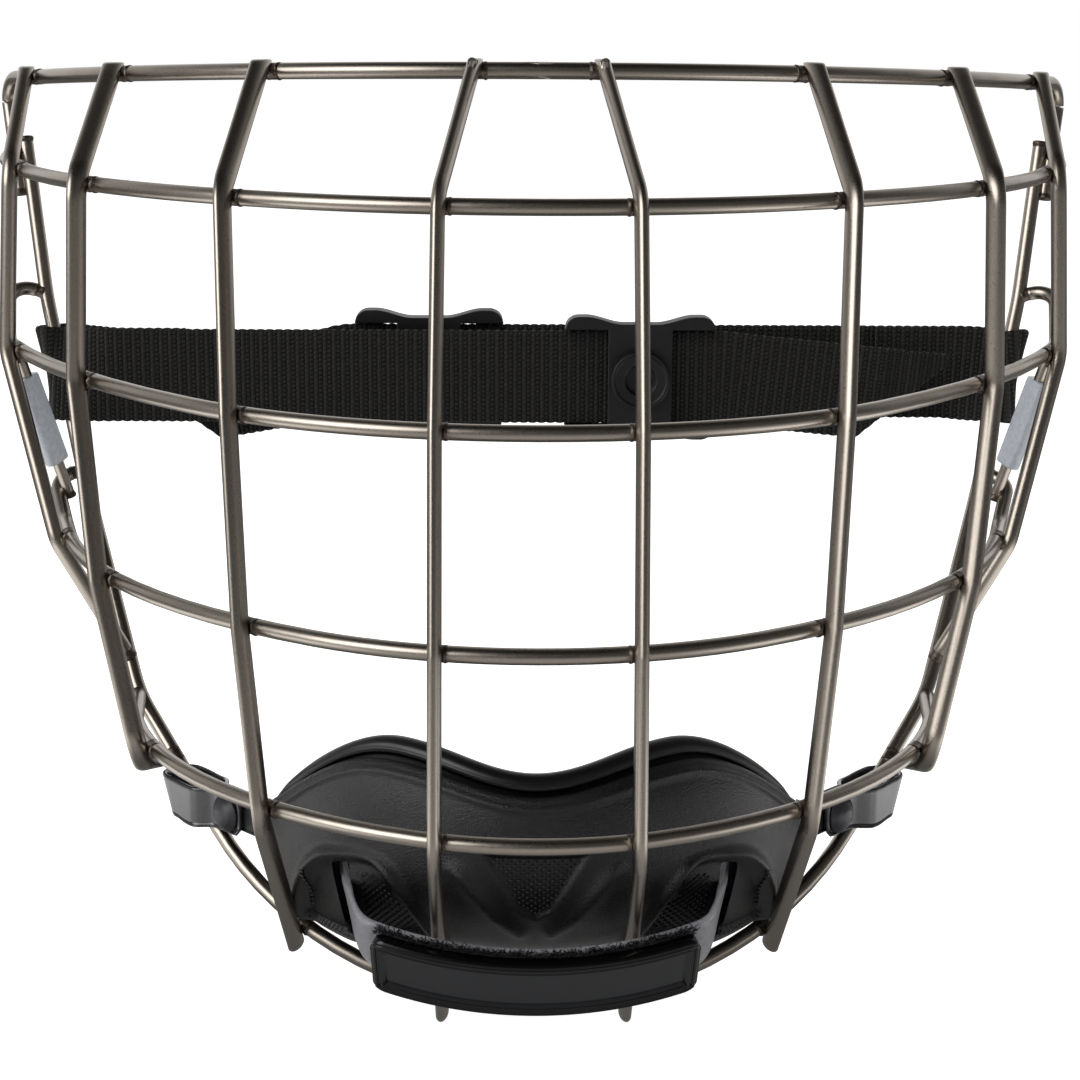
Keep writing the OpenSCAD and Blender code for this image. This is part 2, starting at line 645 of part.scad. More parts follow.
// One hook-and-loop band from slot to slot: an arc across the front of the middle uprights,
// and a flat leg that twists into the slot at each end
arc_steps = 16;
module chin_strap() {
    leg = [slot_corners(-3.5), slot_corners(3.5)];
    rings = concat([for (ring = reversed(leg)) mirrored(ring)],
        [for (s = [-arc_steps:arc_steps]) band_corners(band_half * s / arc_steps)], leg);
    m = len(rings) - 1;
    color(black) polyhedron(points = [for (ring = rings) for (p = ring) p],
        faces = concat([[0, 2, 1], [0, 3, 2]], [for (f = [[0, 1, 2], [0, 2, 3]]) f + 4 * m * [1, 1, 1]],
            [for (k = [0:m - 1]) for (q = [0:3])
                let (a = 4 * k + q, b = 4 * k + (q + 1) % 4)
                each [[a, b, a + 4], [b, b + 4, a + 4]]]));
}

badge_half = badge_l / 2 / (band_r + 3) * 180 / PI;
tape_t = 0.8;
badge_low = -badge_h / 2;
module hook_tape() {
    color(black) band_arc(band_r + chin_strap_t + skin_gap, tape_t,
        band_low + 0.5, -band_low - 0.5, badge_half - 1);
}
module badge_plate() {
    r = band_r + chin_strap_t + skin_gap + tape_t;
    color("#3a3c40") {
        band_arc(r, badge_t - 0.8, badge_low, badge_low + badge_h, badge_half);
        difference() {
            band_arc(r + badge_t - 0.8 - eps, 0.8, badge_low, badge_low + badge_h, badge_half);
            band_arc(r + badge_t - 0.9, 2, badge_low + 1.6, badge_low + badge_h - 1.6,
                badge_half - 1.9);
        }
    }
}

top_rim();
lower_rim();
brow_bar();
eye_bar();
mouth_bar();
chin_bar();
mirror([1, 0, 0]) right_outer_upright();  // upright_1
mirror([1, 0, 0]) right_upright(1);  // upright_2
mirror([1, 0, 0]) right_upright(2);  // upright_3
mirror([1, 0, 0]) right_upright(3);  // upright_4
right_upright(3);  // upright_5
right_upright(2);  // upright_6
right_upright(1);  // upright_7
right_outer_upright();  // upright_8
mirror([1, 0, 0]) right_stay();  // side_stay_left
right_stay();  // side_stay_right
mirror([1, 0, 0]) right_label();  // label_left
right_label();  // label_right
strap_left();
strap_right();
slider_left();
slider_right();
socket_left();
socket_right();
stud_spring_left();
stud_spring_right();
cup_shell();
cup_liner();
mirror([1, 0, 0]) right_tab();  // side_tab_left
right_tab();  // side_tab_right
mirror([1, 0, 0]) right_rivet();  // tab_rivet_left
right_rivet();  // tab_rivet_right
chin_strap();
hook_tape();
badge_plate();
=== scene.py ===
"""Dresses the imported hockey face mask: titanium wires with their welds, ribbed webbing with
moulded sliders, a grained chin cup with its padded liner, and a plain studio round it."""

import math

import bmesh
import bpy
import numpy as np
from mathutils import Matrix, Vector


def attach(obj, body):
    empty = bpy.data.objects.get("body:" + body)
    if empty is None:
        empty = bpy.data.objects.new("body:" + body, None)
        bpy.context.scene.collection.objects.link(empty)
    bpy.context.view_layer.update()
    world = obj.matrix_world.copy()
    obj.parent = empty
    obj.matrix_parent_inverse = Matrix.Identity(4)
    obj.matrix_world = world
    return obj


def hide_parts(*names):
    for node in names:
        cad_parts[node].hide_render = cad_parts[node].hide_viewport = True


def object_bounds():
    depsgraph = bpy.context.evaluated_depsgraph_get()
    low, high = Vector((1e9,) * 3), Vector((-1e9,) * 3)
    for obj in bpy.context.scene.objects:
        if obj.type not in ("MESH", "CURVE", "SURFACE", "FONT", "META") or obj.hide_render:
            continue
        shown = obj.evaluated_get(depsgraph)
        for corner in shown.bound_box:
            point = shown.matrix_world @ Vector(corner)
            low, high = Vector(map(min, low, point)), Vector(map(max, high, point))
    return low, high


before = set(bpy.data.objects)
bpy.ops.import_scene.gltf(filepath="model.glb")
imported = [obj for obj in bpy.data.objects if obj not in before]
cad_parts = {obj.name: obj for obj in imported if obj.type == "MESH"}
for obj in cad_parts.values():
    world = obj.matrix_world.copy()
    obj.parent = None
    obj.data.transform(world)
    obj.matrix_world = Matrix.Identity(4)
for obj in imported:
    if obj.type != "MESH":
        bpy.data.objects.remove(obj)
CAD_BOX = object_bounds()

bl_info = {
    "name": "Hockey Face Mask",
    "version": (1, 0, 0),
    "blender": (4, 5, 0),
    "location": "View3D > Sidebar > Face Mask",
    "description": "Dresses a welded wire face mask for a hockey helmet",
    "category": "Add Mesh",
}

MM = 0.001
# Each side's name, and the factors that bring a point of the right side to it
SIDES = (("right", np.array([1, 1, 1])), ("left", np.array([-1, 1, 1])))
UP = np.array([0.0, 0, 1])


# Sizes and colours

def linear(code):
    """An sRGB hex colour as linear red, green, blue and alpha."""
    parts = np.array([int(code[k:k + 2], 16) for k in (1, 3, 5)]) / 255
    low = parts / 12.92
    high = ((parts + 0.055) / 1.055) ** 2.4
    return (*np.where(parts <= 0.04045, low, high), 1.0)


def length(name, text, default):
    """A length property in metres, given in millimetres."""
    return bpy.props.FloatProperty(
        name=name, description=text, default=default * MM, unit="LENGTH", subtype="DISTANCE",
        precision=5)


def colour(name, text, code):
    """A colour property, given as an sRGB hex value."""
    return bpy.props.FloatVectorProperty(
        name=name, description=text, default=linear(code), size=4, subtype="COLOR",
        min=0, max=1)


# Diameters of the cross bars and the side stays
BAR, STAY = 2.9, 2.4


class CageSizes(bpy.types.PropertyGroup):
    """Wires of the cage"""
    rim: length("Rim wire", "Diameter of the rim wires", 3.0)
    bar: length("Cross bar", "Diameter of the four cross bars", BAR)
    upright_wide: length("Upright width", "Width of an oval upright", 2.4)
    upright_deep: length("Upright depth", "Depth of an oval upright", 3.9)
    outer: length("Outer upright", "Diameter of the outermost uprights", 3.2)
    stay: length("Side stay", "Diameter of the side stays", STAY)
    wire: colour("Titanium", "Colour of the satin wire", "#a0988e")
    bead: colour("Weld", "Colour of the oxide on a weld", "#5c534b")
    label: colour("Label", "Colour of the blank label film", "#c3c8d0")


class StrapSizes(bpy.types.PropertyGroup):
    """Side straps with their sliders"""
    wide: length("Webbing width", "Width of the webbing", 20.0)
    thick: length("Webbing thickness", "Thickness of the webbing", 1.3)
    rib: length("Rib spacing", "Distance from rib to rib", 0.96)
    yarn: colour("Yarn", "Colour of the polyester yarn", "#1b1a19")
    moulding: colour("Slider", "Colour of the moulded sliders", "#0c0c0c")


class CupSizes(bpy.types.PropertyGroup):
    """Chin cup with its liner, tabs, strap and badge"""
    wall: length("Shell wall", "Wall of the moulded shell", 2.2)
    pad: length("Liner", "Thickness of the padded liner", 5.5)
    shell: colour("Shell", "Colour of the grained shell", "#090909")
    foam: colour("Liner foam", "Colour of the liner", "#0c0c0c")
    vinyl: colour("Vinyl", "Colour of the side tabs", "#2a2a2e")
    pile: colour("Pile", "Colour of the strap's loop pile", "#131313")
    badge: colour("Badge", "Colour of the badge's field", "#0f1116")


class StageSizes(bpy.types.PropertyGroup):
    """Floor and lamps"""
    floor: colour("Floor", "Colour of the floor", "#f4f4f3")
    key: bpy.props.FloatProperty(
        name="Key lamp", description="Power of the overhead softbox", default=5.0,
        subtype="POWER", unit="POWER")
    fill: bpy.props.FloatProperty(
        name="Fill lamp", description="Power of the two side lamps", default=3.0,
        subtype="POWER", unit="POWER")


# Vectors and paths, in millimetres

def unit(v):
    """A vector, or each row of an array, at length 1."""
    v = np.asarray(v, float)
    return v / np.linalg.norm(v, axis=-1, keepdims=True)


def mirrored(points):
    """Points with X turned to the other side."""
    return np.asarray(points, float) * [-1, 1, 1]


def square_to(guide, way):
    """The direction nearest to a guide that is square to each row of way."""
    return unit(guide - way * (guide * way).sum(-1, keepdims=True))


def turn(a, b, c):
    """Angle in radians by which a path turns at b."""
    return math.acos(min(1.0, max(-1.0, float(unit(b - a) @ unit(c - b)))))


def run_length(line):
    """The distance of each point of a path from its start, along the path."""
    return np.r_[0, np.cumsum(np.linalg.norm(np.diff(line, axis=0), axis=1))]


def spaced(line, far, at):
    """Points of a path at the given distances along it. Far holds those of its own points."""
    return np.stack([np.interp(at, far, line[:, k]) for k in range(3)], 1)


def bent(points, radii, step=4.0):
    """A path with an arc at each inner corner. An arc touches both legs: its centre lies on the
    corner's bisector at radius / cos(half the turn), and its points are centre + radius *
    (first way * cos t + second way * sin t) for t up to the turn."""
    p = np.asarray(points, float)
    parts = [p[:1]]
    for a, b, c, r in zip(p[:-2], p[1:-1], p[2:], radii[1:-1]):
        angle = turn(a, b, c)
        if angle < 1e-4 or r <= 0:
            parts.append(b[None])
            continue
        u, v = unit(a - b), unit(c - b)
        centre = b + unit(u + v) * r / math.cos(angle / 2)
        first = unit(b + u * r * math.tan(angle / 2) - centre)
        middle = unit(b - centre)
        second = unit(middle - first * (first @ middle))
        t = np.linspace(0, angle, max(3, int(math.degrees(angle) / step) + 2))[:, None]
        parts.append(centre + r * (first * np.cos(t) + second * np.sin(t)))
    parts.append(p[-1:])
    line = np.concatenate(parts)
    keep = np.r_[True, np.linalg.norm(np.diff(line, axis=0), axis=1) > 0.03]
    return line[keep]


def evened(line, spacing):
    """A path with points no further apart than a spacing, set between its own points."""
    far = run_length(line)
    extra = [np.linspace(a, b, int((b - a) / spacing) + 2)[1:-1]
             for a, b in zip(far[:-1], far[1:])]
    return spaced(line, far, np.sort(np.concatenate([far, *extra])))


def ways(line):
    """The direction of a path at each of its points."""
    return unit(np.gradient(line, axis=0))


def smooth(x, low, high):
    """0 below low, 1 above high, and 3t squared less 2t cubed between."""
    t = np.clip((np.asarray(x, float) - low) / (high - low), 0, 1)
    return t * t * (3 - 2 * t)


# Meshes

def ring_faces(rows, cols):
    """The quads of a grid closed round its second side, and its two flat ends."""
    i, j = np.meshgrid(np.arange(rows - 1), np.arange(cols), indexing="ij")
    k = (j + 1) % cols
    quads = np.stack([i * cols + j, i * cols + k, (i + 1) * cols + k, (i + 1) * cols + j], -1)
    return quads.reshape(-1, 4), [np.arange(cols)[::-1], (rows - 1) * cols + np.arange(cols)]


def surface(name, grids, material, body, hides=()):
    """A mesh piece from one or more grids of points in millimetres, each closed round its second
    side and with a flat face at each end. Its UV map holds the distance along and round each
    grid in metres. Where a grid's volume comes out negative, its faces are all turned."""
    vertices, faces, charts, caps, start = [], [], [], [], 0
    for grid in grids:
        grid = np.asarray(grid, float)
        rows, cols = grid.shape[:2]
        quads, ends = ring_faces(rows, cols)
        points = grid.reshape(-1, 3)
        a, b, c, d = (points[quads[:, n]] - points[0] for n in range(4))
        volume = (a * np.cross(b, c)).sum() + (a * np.cross(c, d)).sum()
        for end in ends:
            e = points[end] - points[0]
            volume += (e[0] * np.cross(e[1:-1], e[2:])).sum()
        middle = grid[rows // 2]
        along = run_length(grid.mean(1)) * MM
        around = run_length(np.vstack([middle, middle[:1]])) * MM
        row, col = np.divmod(quads, cols)
        col[:, 1:3] = col[:, :1] + 1
        uv = np.stack([along[row], around[col]], -1)
        if volume < 0:
            quads, uv, ends = quads[:, ::-1], uv[:, ::-1], [end[::-1] for end in ends]
        vertices.append(points * MM)
        faces += (quads + start).tolist()
        caps += [(end + start).tolist() for end in ends]
        charts.append(uv.reshape(-1, 2))
        start += len(points)
    mesh = bpy.data.meshes.new(name)
    mesh.from_pydata(np.concatenate(vertices).tolist(), [], faces + caps)
    layer = mesh.uv_layers.new(name="run")
    flat = np.zeros((len(mesh.loops), 2), np.float32)
    known = np.concatenate(charts)
    flat[:len(known)] = known
    layer.data.foreach_set("uv", flat.ravel())
    mesh.shade_smooth()
    return piece(name, mesh, material, body, hides)


def plain_mesh(name, points, faces):
    """A smooth mesh from points in millimetres and lists of faces."""
    mesh = bpy.data.meshes.new(name)
    mesh.from_pydata((np.asarray(points).reshape(-1, 3) * MM).tolist(), [], faces)
    mesh.shade_smooth()
    return mesh


def ringed_mesh(name, rings):
    """A closed mesh of rings with a flat face at each end, its faces turned outwards."""
    quads, ends = ring_faces(*np.shape(rings)[:2])
    mesh = plain_mesh(name, rings, quads.tolist() + [end.tolist() for end in ends])
    work = bmesh.new()
    work.from_mesh(mesh)
    bmesh.ops.recalc_face_normals(work, faces=work.faces)
    work.to_mesh(mesh)
    work.free()
    return mesh


def linked(name, data):
    """A new object in the scene."""
    shape = bpy.data.objects.new(name, data)
    bpy.context.scene.collection.objects.link(shape)
    return shape


def piece(name, mesh, material, body, hides=()):
    """Links a mesh as a piece with its material, the body it rides on and the nodes it hides."""
    mesh.materials.clear()
    mesh.materials.append(material)
    shape = linked(name, mesh)
    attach(shape, body)
    if hides:
        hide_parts(*hides)
    return shape


def vertices_of(mesh):
    """A mesh's vertices as rows, in millimetres."""
    points = np.zeros(len(mesh.vertices) * 3, np.float32)
    mesh.vertices.foreach_get("co", points)
    return points.reshape(-1, 3).astype(float) / MM


def mark(mesh, name, values):
    """Stores one number for each vertex as an attribute that a material reads."""
    mesh.attributes.new(name, "FLOAT", "POINT").data.foreach_set(
        "value", np.asarray(values, np.float32))


def cut(shape, tools):
    """Takes closed meshes, given as rings, out of a piece, and leaves a plain mesh on it."""
    cutters = [linked("tool", ringed_mesh("tool", rings)) for rings in tools]
    for cutter in cutters:
        hole = shape.modifiers.new("hole", "BOOLEAN")
        hole.object = cutter
        hole.operation = "DIFFERENCE"
        hole.solver = "EXACT"
    bpy.context.view_layer.update()
    old = shape.data
    made = bpy.data.meshes.new_from_object(
        shape.evaluated_get(bpy.context.evaluated_depsgraph_get()))
    made.name = old.name
    shape.modifiers.clear()
    shape.data = made
    bpy.data.meshes.remove(old)
    for cutter in cutters:
        bpy.data.objects.remove(cutter)


def box_rings(low, high):
    """The two rings of a box between two corners."""
    ring = ((0, 0), (1, 0), (1, 1), (0, 1))
    return np.array([[((low, high)[i][0], (low, high)[j][1], z) for i, j in ring]
                     for z in (low[2], high[2])], float)


def bevelled(shape, edge):
    """Rounds the edges of a piece by a Bevel modifier."""
    bevel = shape.modifiers.new("edge", "BEVEL")
    bevel.width = edge * MM
    bevel.segments = 3
    bevel.limit_method = "ANGLE"
    bevel.angle_limit = math.radians(35)
    bevel.harden_normals = True
    shape.data.shade_smooth()


def turned(centre, axis, height, first, second, radius, t):
    """Points round an axis: centre + axis * height + radius * (first * cos t + second * sin t)."""
    return (centre + axis * height[..., None] + first * (radius * np.cos(t))[..., None]
            + second * (radius * np.sin(t))[..., None])


def full_turn(count):
    """Angles of one full turn, in radians."""
    return np.linspace(0, 2 * math.pi, count, endpoint=False)


def tube(line, guide, wide, deep, sides=20, top=None):
    """Wire of oval section along a path: point = path + out * deep / 2 * cos t + across *
    wide / 2 * sin t, where out is the guide made square to the path. The ends are rounded by
    rings that shrink as a quarter ellipse, over 0.85 of the smaller radius. Where top is given,
    the first end is cut level at that height, with a small chamfer."""
    line = np.asarray(line, float)
    first, last = unit(line[1] - line[0]), unit(line[-1] - line[-2])
    t = np.radians([14, 34, 54, 74, 90])
    cap = len(t)
    step = min(wide, deep) / 2 * 0.85 * (1 - np.cos(t))
    clear = step[-1] + 0.15
    inner = line[(np.linalg.norm(line - line[0], axis=1) > clear)
                 & (np.linalg.norm(line - line[-1], axis=1) > clear)]
    body = np.vstack([line[0] + np.outer(step, first), inner,
                      line[-1] - np.outer(step[::-1], last)])
    scale = np.r_[np.sin(t), np.ones(len(inner)), np.sin(t[::-1])]
    way = ways(body)
    way[:cap], way[-cap:] = first, last
    out = square_to(np.broadcast_to(np.asarray(guide, float), body.shape), way)
    across = np.cross(way, out)
    t = full_turn(sides)
    rings = (out[:, None] * (deep / 2 * np.cos(t))[None, :, None]
             + across[:, None] * (wide / 2 * np.sin(t))[None, :, None])
    grid = body[:, None] + scale[:, None, None] * rings
    if top is not None:
        level = np.array([0.0, 0.1, 0.35])[:, None]
        size = np.array([0.7, 0.92, 1.0])[:, None, None]
        near = line[0] + size * rings[cap]
        rise = (top - level - near[..., 2]) / first[2]
        grid = np.concatenate([near + first * rise[..., None], grid[cap:]])
    return grid


def lathe(profile, centre, axis, sides=64):
    """A turned piece from the (radius, height) points of a profile, which starts and ends close
    to the axis: point = centre + axis * height + radius * (across * cos t + over * sin t)."""
    axis = unit(axis)
    side = unit(np.cross(axis, [0.3, 0.2, 1.0]))
    radius, height = np.split(np.asarray(profile, float), 2, axis=1)
    return turned(np.asarray(centre), axis, height, side, np.cross(axis, side), radius,
                  full_turn(sides)[None])


def rounded_profile(points, radii):
    """A (radius, height) profile with an arc at each inner corner."""
    flat = np.c_[np.asarray(points, float), np.zeros(len(points))]
    return bent(flat, radii, 22)[:, :2]


def band(line, across, normal, wide, thick, steps=12):
    """A flat band along a path: each ring is a rectangle with half-round edges, point = path +
    across * v + normal * h. Width and thickness may change from ring to ring."""
    across, normal = (np.broadcast_to(v, line.shape)[:, None] for v in (across, normal))
    wide, thick = (np.broadcast_to(np.asarray(size, float), len(line))[:, None, None] / 2
                   for size in (wide, thick))
    t = np.radians([90, 50, 17, -17, -50, -90])
    v = np.r_[np.linspace(-1, 1, steps)[:-1], np.ones(6), np.linspace(1, -1, steps)[1:-1],
              -np.ones(6)]
    edge = np.r_[np.zeros(steps - 1), np.cos(t), np.zeros(steps - 2), -np.cos(t)]
    h = np.r_[np.ones(steps - 1), np.sin(t), -np.ones(steps - 2), -np.sin(t)]
    place = v[None, :, None] * (wide - thick) + edge[None, :, None] * thick
    return line[:, None] + across * place + normal * h[None, :, None] * thick


# Materials

def feed(tree, node, inputs):
    """Sets a node's inputs, each to a value or by a link from another node's output."""
    for key, value in inputs.items():
        if isinstance(value, bpy.types.NodeSocket):
            tree.links.new(value, node.inputs[key])
        else:
            node.inputs[key].default_value = value


def add(tree, kind, inputs=None, **settings):
    """Adds a shader node of a kind with its inputs and settings."""
    node = tree.nodes.new("ShaderNode" + kind)
    for key, value in settings.items():
        setattr(node, key, value)
    feed(tree, node, inputs or {})
    return node


def sums(tree, operation, *values, clamp=False):
    """The result of a Math node on its values."""
    return add(tree, "Math", dict(enumerate(values)), operation=operation,
               use_clamp=clamp).outputs[0]


def spread(tree, source, low, high, first, last):
    """A value mapped from low and high to first and last, and held past them."""
    return add(tree, "MapRange", dict(enumerate((source, low, high, first, last)))).outputs[0]


def noise(tree, place, scale, detail, roughness=0.5):
    """A noise texture's value, whose grain is about 1 / scale metres."""
    return add(tree, "TexNoise", {"Vector": place, "Scale": scale, "Detail": detail,
                                  "Roughness": roughness}).outputs["Fac"]


def mixed(tree, factor, first, second, kind="RGBA"):
    """A mix of two colours, or of two numbers where the kind is FLOAT, by a factor."""
    at, result = (6, 2) if kind == "RGBA" else (2, 0)
    return add(tree, "Mix", {0: factor, at: first, at + 1: second},
               data_type=kind).outputs[result]


def ramp(tree, source, stops):
    """A colour ramp from a source, with (place, colour) stops."""
    node = add(tree, "ValToRGB", {"Fac": source})
    for k, (place, shade) in enumerate(stops):
        stop = node.color_ramp.elements[k] if k < 2 else node.color_ramp.elements.new(place)
        stop.position = place
        stop.color = shade
    return node.outputs["Color"]


def bumps(tree, height, strength, depth):
    """A normal that follows a height, for bumps of a depth in millimetres."""
    return add(tree, "Bump", {"Strength": strength, "Distance": depth * MM,
                              "Height": height}).outputs["Normal"]


def start_material(name, inputs):
    """Starts a material: itself, its tree, its shader with set inputs, and Object coordinates."""
    material = bpy.data.materials.new(name)
    material.use_nodes = True
    tree = material.node_tree
    shader = tree.nodes["Principled BSDF"]
    feed(tree, shader, inputs)
    return material, tree, shader, add(tree, "TexCoord").outputs["Object"]


def shaded(shade, by):
    """A colour made darker or lighter by a factor."""
    return (*(min(1.0, c * by) for c in shade[:3]), 1.0)


def titanium_wire(sizes):
    """Drawn titanium, bead-blasted: a satin metal with a fine even grain of about 0.25 mm,
    drawn here at 0.4 mm so that it shows, and a brown scorch round each weld."""
    material, tree, shader, place = start_material(
        "satin_titanium", {"Metallic": 1.0, "Roughness": 0.26})
    grain = noise(tree, place, 2500.0, 3.0)
    heat = add(tree, "Attribute", attribute_name="heat").outputs["Fac"]
    uneven = sums(tree, "MULTIPLY_ADD", noise(tree, place, 90.0, 2.0), 0.55, -0.08)
    scorched = sums(tree, "MULTIPLY", heat, uneven, clamp=True)
    tone = ramp(tree, grain, [(0.3, shaded(sizes.wire, 0.96)), (0.7, shaded(sizes.wire, 1.04))])
    feed(tree, shader, {"Base Color": mixed(tree, scorched, tone, shaded(sizes.bead, 1.15)),
                        "Roughness": spread(tree, grain, 0.3, 0.7, 0.27, 0.32),
                        "Normal": bumps(tree, grain, 0.02, 0.1)})
    return material


def weld_oxide(sizes):
    """Weld metal with its oxide: dark, dull and slightly pitted at about 0.6 mm."""
    material, tree, shader, place = start_material(
        "weld_oxide", {"Metallic": 0.9, "Roughness": 0.42})
    pits = noise(tree, place, 1700.0, 4.0)
    tone = ramp(tree, pits, [(0.3, shaded(sizes.bead, 0.55)), (0.75, shaded(sizes.bead, 1.5))])
    feed(tree, shader, {"Base Color": tone, "Normal": bumps(tree, pits, 0.35, 0.2)})
    return material


def polyester_webbing(sizes):
    """Woven polyester webbing: matt black yarn in ribs, whose floats of about 0.96 mm step from
    rib to rib, every second rib standing out. The ribs themselves are in the mesh."""
    material, tree, shader, place = start_material("polyester_webbing", {
        "Roughness": 0.9, "Sheen Weight": 0.08, "Sheen Roughness": 0.5, "Specular IOR Level": 0.3})
    run = add(tree, "UVMap", uv_map="run").outputs["UV"]
    along, over = add(tree, "SeparateXYZ", {0: run}).outputs[:2]
    rib = sums(tree, "COSINE", sums(tree, "MULTIPLY", along, math.pi / sizes.rib))
    yarn = sums(tree, "COSINE", sums(tree, "MULTIPLY", over, 2 * math.pi / (YARN_FLOAT * MM)))
    even = sums(tree, "MULTIPLY_ADD", rib, 0.35, sums(tree, "ABSOLUTE", rib))
    height = sums(tree, "MULTIPLY_ADD", sums(tree, "MULTIPLY", rib, yarn), 0.5, even)
    # Colour by the weave's height with a noise mottle: painted shade between the floats and a
    # painted highlight on their tops
    weave_shade_and_mottle = sums(tree, "MULTIPLY_ADD", noise(tree, place, 3000.0, 3.0), 0.5, height)
    tone = ramp(tree, weave_shade_and_mottle, [(0.2, shaded(sizes.yarn, 0.25)), (0.85, shaded(sizes.yarn, 1.0)),
                             (1.0, shaded(sizes.yarn, 2.2))])
    feed(tree, shader, {"Base Color": tone, "Normal": bumps(tree, height, 0.8, 0.3)})
    return material


def moulded(name, shade, roughness, grit, depth, grain_top_highlight=1.0, coat=0.0):
    """A moulded or sheet polymer: its grit, the size of the grain that the mould leaves, gives a
    fine broken highlight. The colour follows the grain's height: its tops are lightened by a
    factor as a painted highlight, and its hollows are a little darker as painted shade."""
    material, tree, shader, place = start_material(
        name, {"Roughness": roughness, "IOR": 1.5, "Coat Weight": coat, "Coat Roughness": 0.12})
    grain = noise(tree, place, 1 / (grit * MM), 3.0, 0.6)
    cloud = noise(tree, place, 60.0, 3.0)
    feed(tree, shader, {
        # Painted highlight on the grain's tops and painted shade in its hollows
        "Base Color": ramp(tree, grain, [(0.35, shaded(shade, 0.85)),
                                         (0.72, shaded(shade, grain_top_highlight))]),
        "Roughness": spread(tree, cloud, 0.3, 0.7, roughness - 0.06, roughness + 0.08),
        "Normal": bumps(tree, grain, 0.5, depth)})
    return material


def badge_gloss(sizes):
    """Moulded badge rubber: a black frame and a dark slate field under a clear gloss. The mesh's
    field attribute says which is which."""
    material, tree, shader, place = start_material("badge_rubber", {
        "Roughness": 0.2, "IOR": 1.45, "Specular IOR Level": 0.3, "Coat Weight": 0.15,
        "Coat Roughness": 0.04})
    field = add(tree, "Attribute", attribute_name="field").outputs["Fac"]
    cloud = noise(tree, place, 260.0, 4.0)
    slate = ramp(tree, cloud, [(0.3, shaded(sizes.badge, 0.85)), (0.75, shaded(sizes.badge, 1.2))])
    feed(tree, shader, {"Base Color": mixed(tree, field, linear("#020202"), slate),
                        "Normal": bumps(tree, cloud, 0.08, 0.2)})
    return material


# The cage's routes, in millimetres, as the part's source gives them

# Plan of each cross wire: front, first radius, its half angle, second radius, last angle
PLANS = [(0, 91, 37, 170, 66), (-28.8, 88, 30, 132, 71), (-37.6, 85, 46, 220, 68),
         (-44.3, 72, 32, 128, 76), (-46.9, 57, 21, 95, 79)]
DROPS = [0, 21.4, 57.9, 94.4, 127]
# Where the four uprights of one side cross the wires, from the outermost inwards
CROSS_X = [[103.1, 102.3, 104.6, 94.2], [78.9, 81.8, 83.5, 79.5, 72.3],
           [47.8, 52.3, 51.4, 49.7, 46.5], [10.5, 16.1, 16.6, 16.6, 16.7]]
FOOT_X = [0, 72.5, 44.8, 16.9]
# The way in which each upright's depth points: degrees from the front, and the outermost's way
FACING = [0, 56, 35, 12]
OUTER_GUIDE = np.array([0.91, -0.42, 0])
# The top rim rises towards the front. The chin rim slopes from the chin, BASE_Z down, to the jaw
RIM_SLOPE = math.tan(math.radians(3))
BASE_Z = 175.8
JAW_X, JAW_Y = 81, 42
CHIN_R = 74
# How deep a wire sinks into the one that it is welded on, and the uprights' bend radius
WELD_SINK = 0.3
KINK_R = 8
# How far the uprights stand over the top rim and past the chin rim
TOP_OVER, CHIN_OVER = 2.1, 5


def at_drop(i, x, y):
    """A point of cross wire i at its own height."""
    return np.array([x, y, -y * RIM_SLOPE if i == 0 else -DROPS[i]], float)


def cross_at(i, x):
    """The point of cross wire i at distance x from the middle: on its first arc, or past that
    arc's end on its second, whose centre lies on the same radius."""
    front, r1, a1, r2, _ = PLANS[i]
    a1 = math.radians(a1)
    join = r1 * math.sin(a1)
    if x <= join:
        return at_drop(i, x, front + r1 - math.sqrt(r1 * r1 - x * x))
    cx = join - r2 * math.sin(a1)
    cy = front + r1 * (1 - math.cos(a1)) + r2 * math.cos(a1)
    return at_drop(i, x, cy - math.sqrt(r2 * r2 - (x - cx) ** 2))


def plan_corners(i):
    """The two corners whose arcs are the plan of cross wire i."""
    front, r1, a1, r2, a2 = PLANS[i]
    a1, a2 = math.radians(a1), math.radians(a2)
    t1, t2 = r1 * math.tan(a1 / 2), r2 * math.tan((a2 - a1) / 2)
    far = np.array([t1, front]) + (t1 + t2) * np.array([math.cos(a1), math.sin(a1)])
    return [at_drop(i, t1, front), at_drop(i, *far)]


def plan_end(i, y):
    """The point at depth y on the straight end of cross wire i."""
    front, r1, a1, r2, a2 = PLANS[i]
    a1, a2 = math.radians(a1), math.radians(a2)
    x = (r1 - r2) * math.sin(a1) + r2 * math.sin(a2)
    edge = front + r1 * (1 - math.cos(a1)) + r2 * (math.cos(a1) - math.cos(a2))
    return at_drop(i, x + (y - edge) / math.tan(a2), y)


# The chin rim's plane slopes up to the jaw corners: its rise and its length, the straight leg
# from a jaw corner to the front arc, half the arc's angle, and how far out the arc ends
CHIN_DROP = BASE_Z - DROPS[4]
CHIN_RUN = math.hypot(JAW_Y, CHIN_DROP)
CHIN_TANGENT = math.sqrt(JAW_X ** 2 + CHIN_RUN ** 2 - 2 * CHIN_RUN * CHIN_R)
CHIN_HALF = 2 * math.atan(CHIN_RUN / (JAW_X + CHIN_TANGENT))
ARC_X = CHIN_R * math.sin(CHIN_HALF)


def chin_at(x, w):
    """A point of the chin rim's sloping plane, w up the slope from the chin."""
    return np.array([x, w / CHIN_RUN * JAW_Y - 1, w / CHIN_RUN * CHIN_DROP - BASE_Z])


def foot_at(x):
    """The point of the chin rim at distance x from the middle."""
    return chin_at(x, CHIN_R - math.sqrt(CHIN_R ** 2 - x * x) if x <= ARC_X else
                   CHIN_R * (1 - math.cos(CHIN_HALF)) + (x - ARC_X) * math.tan(CHIN_HALF))


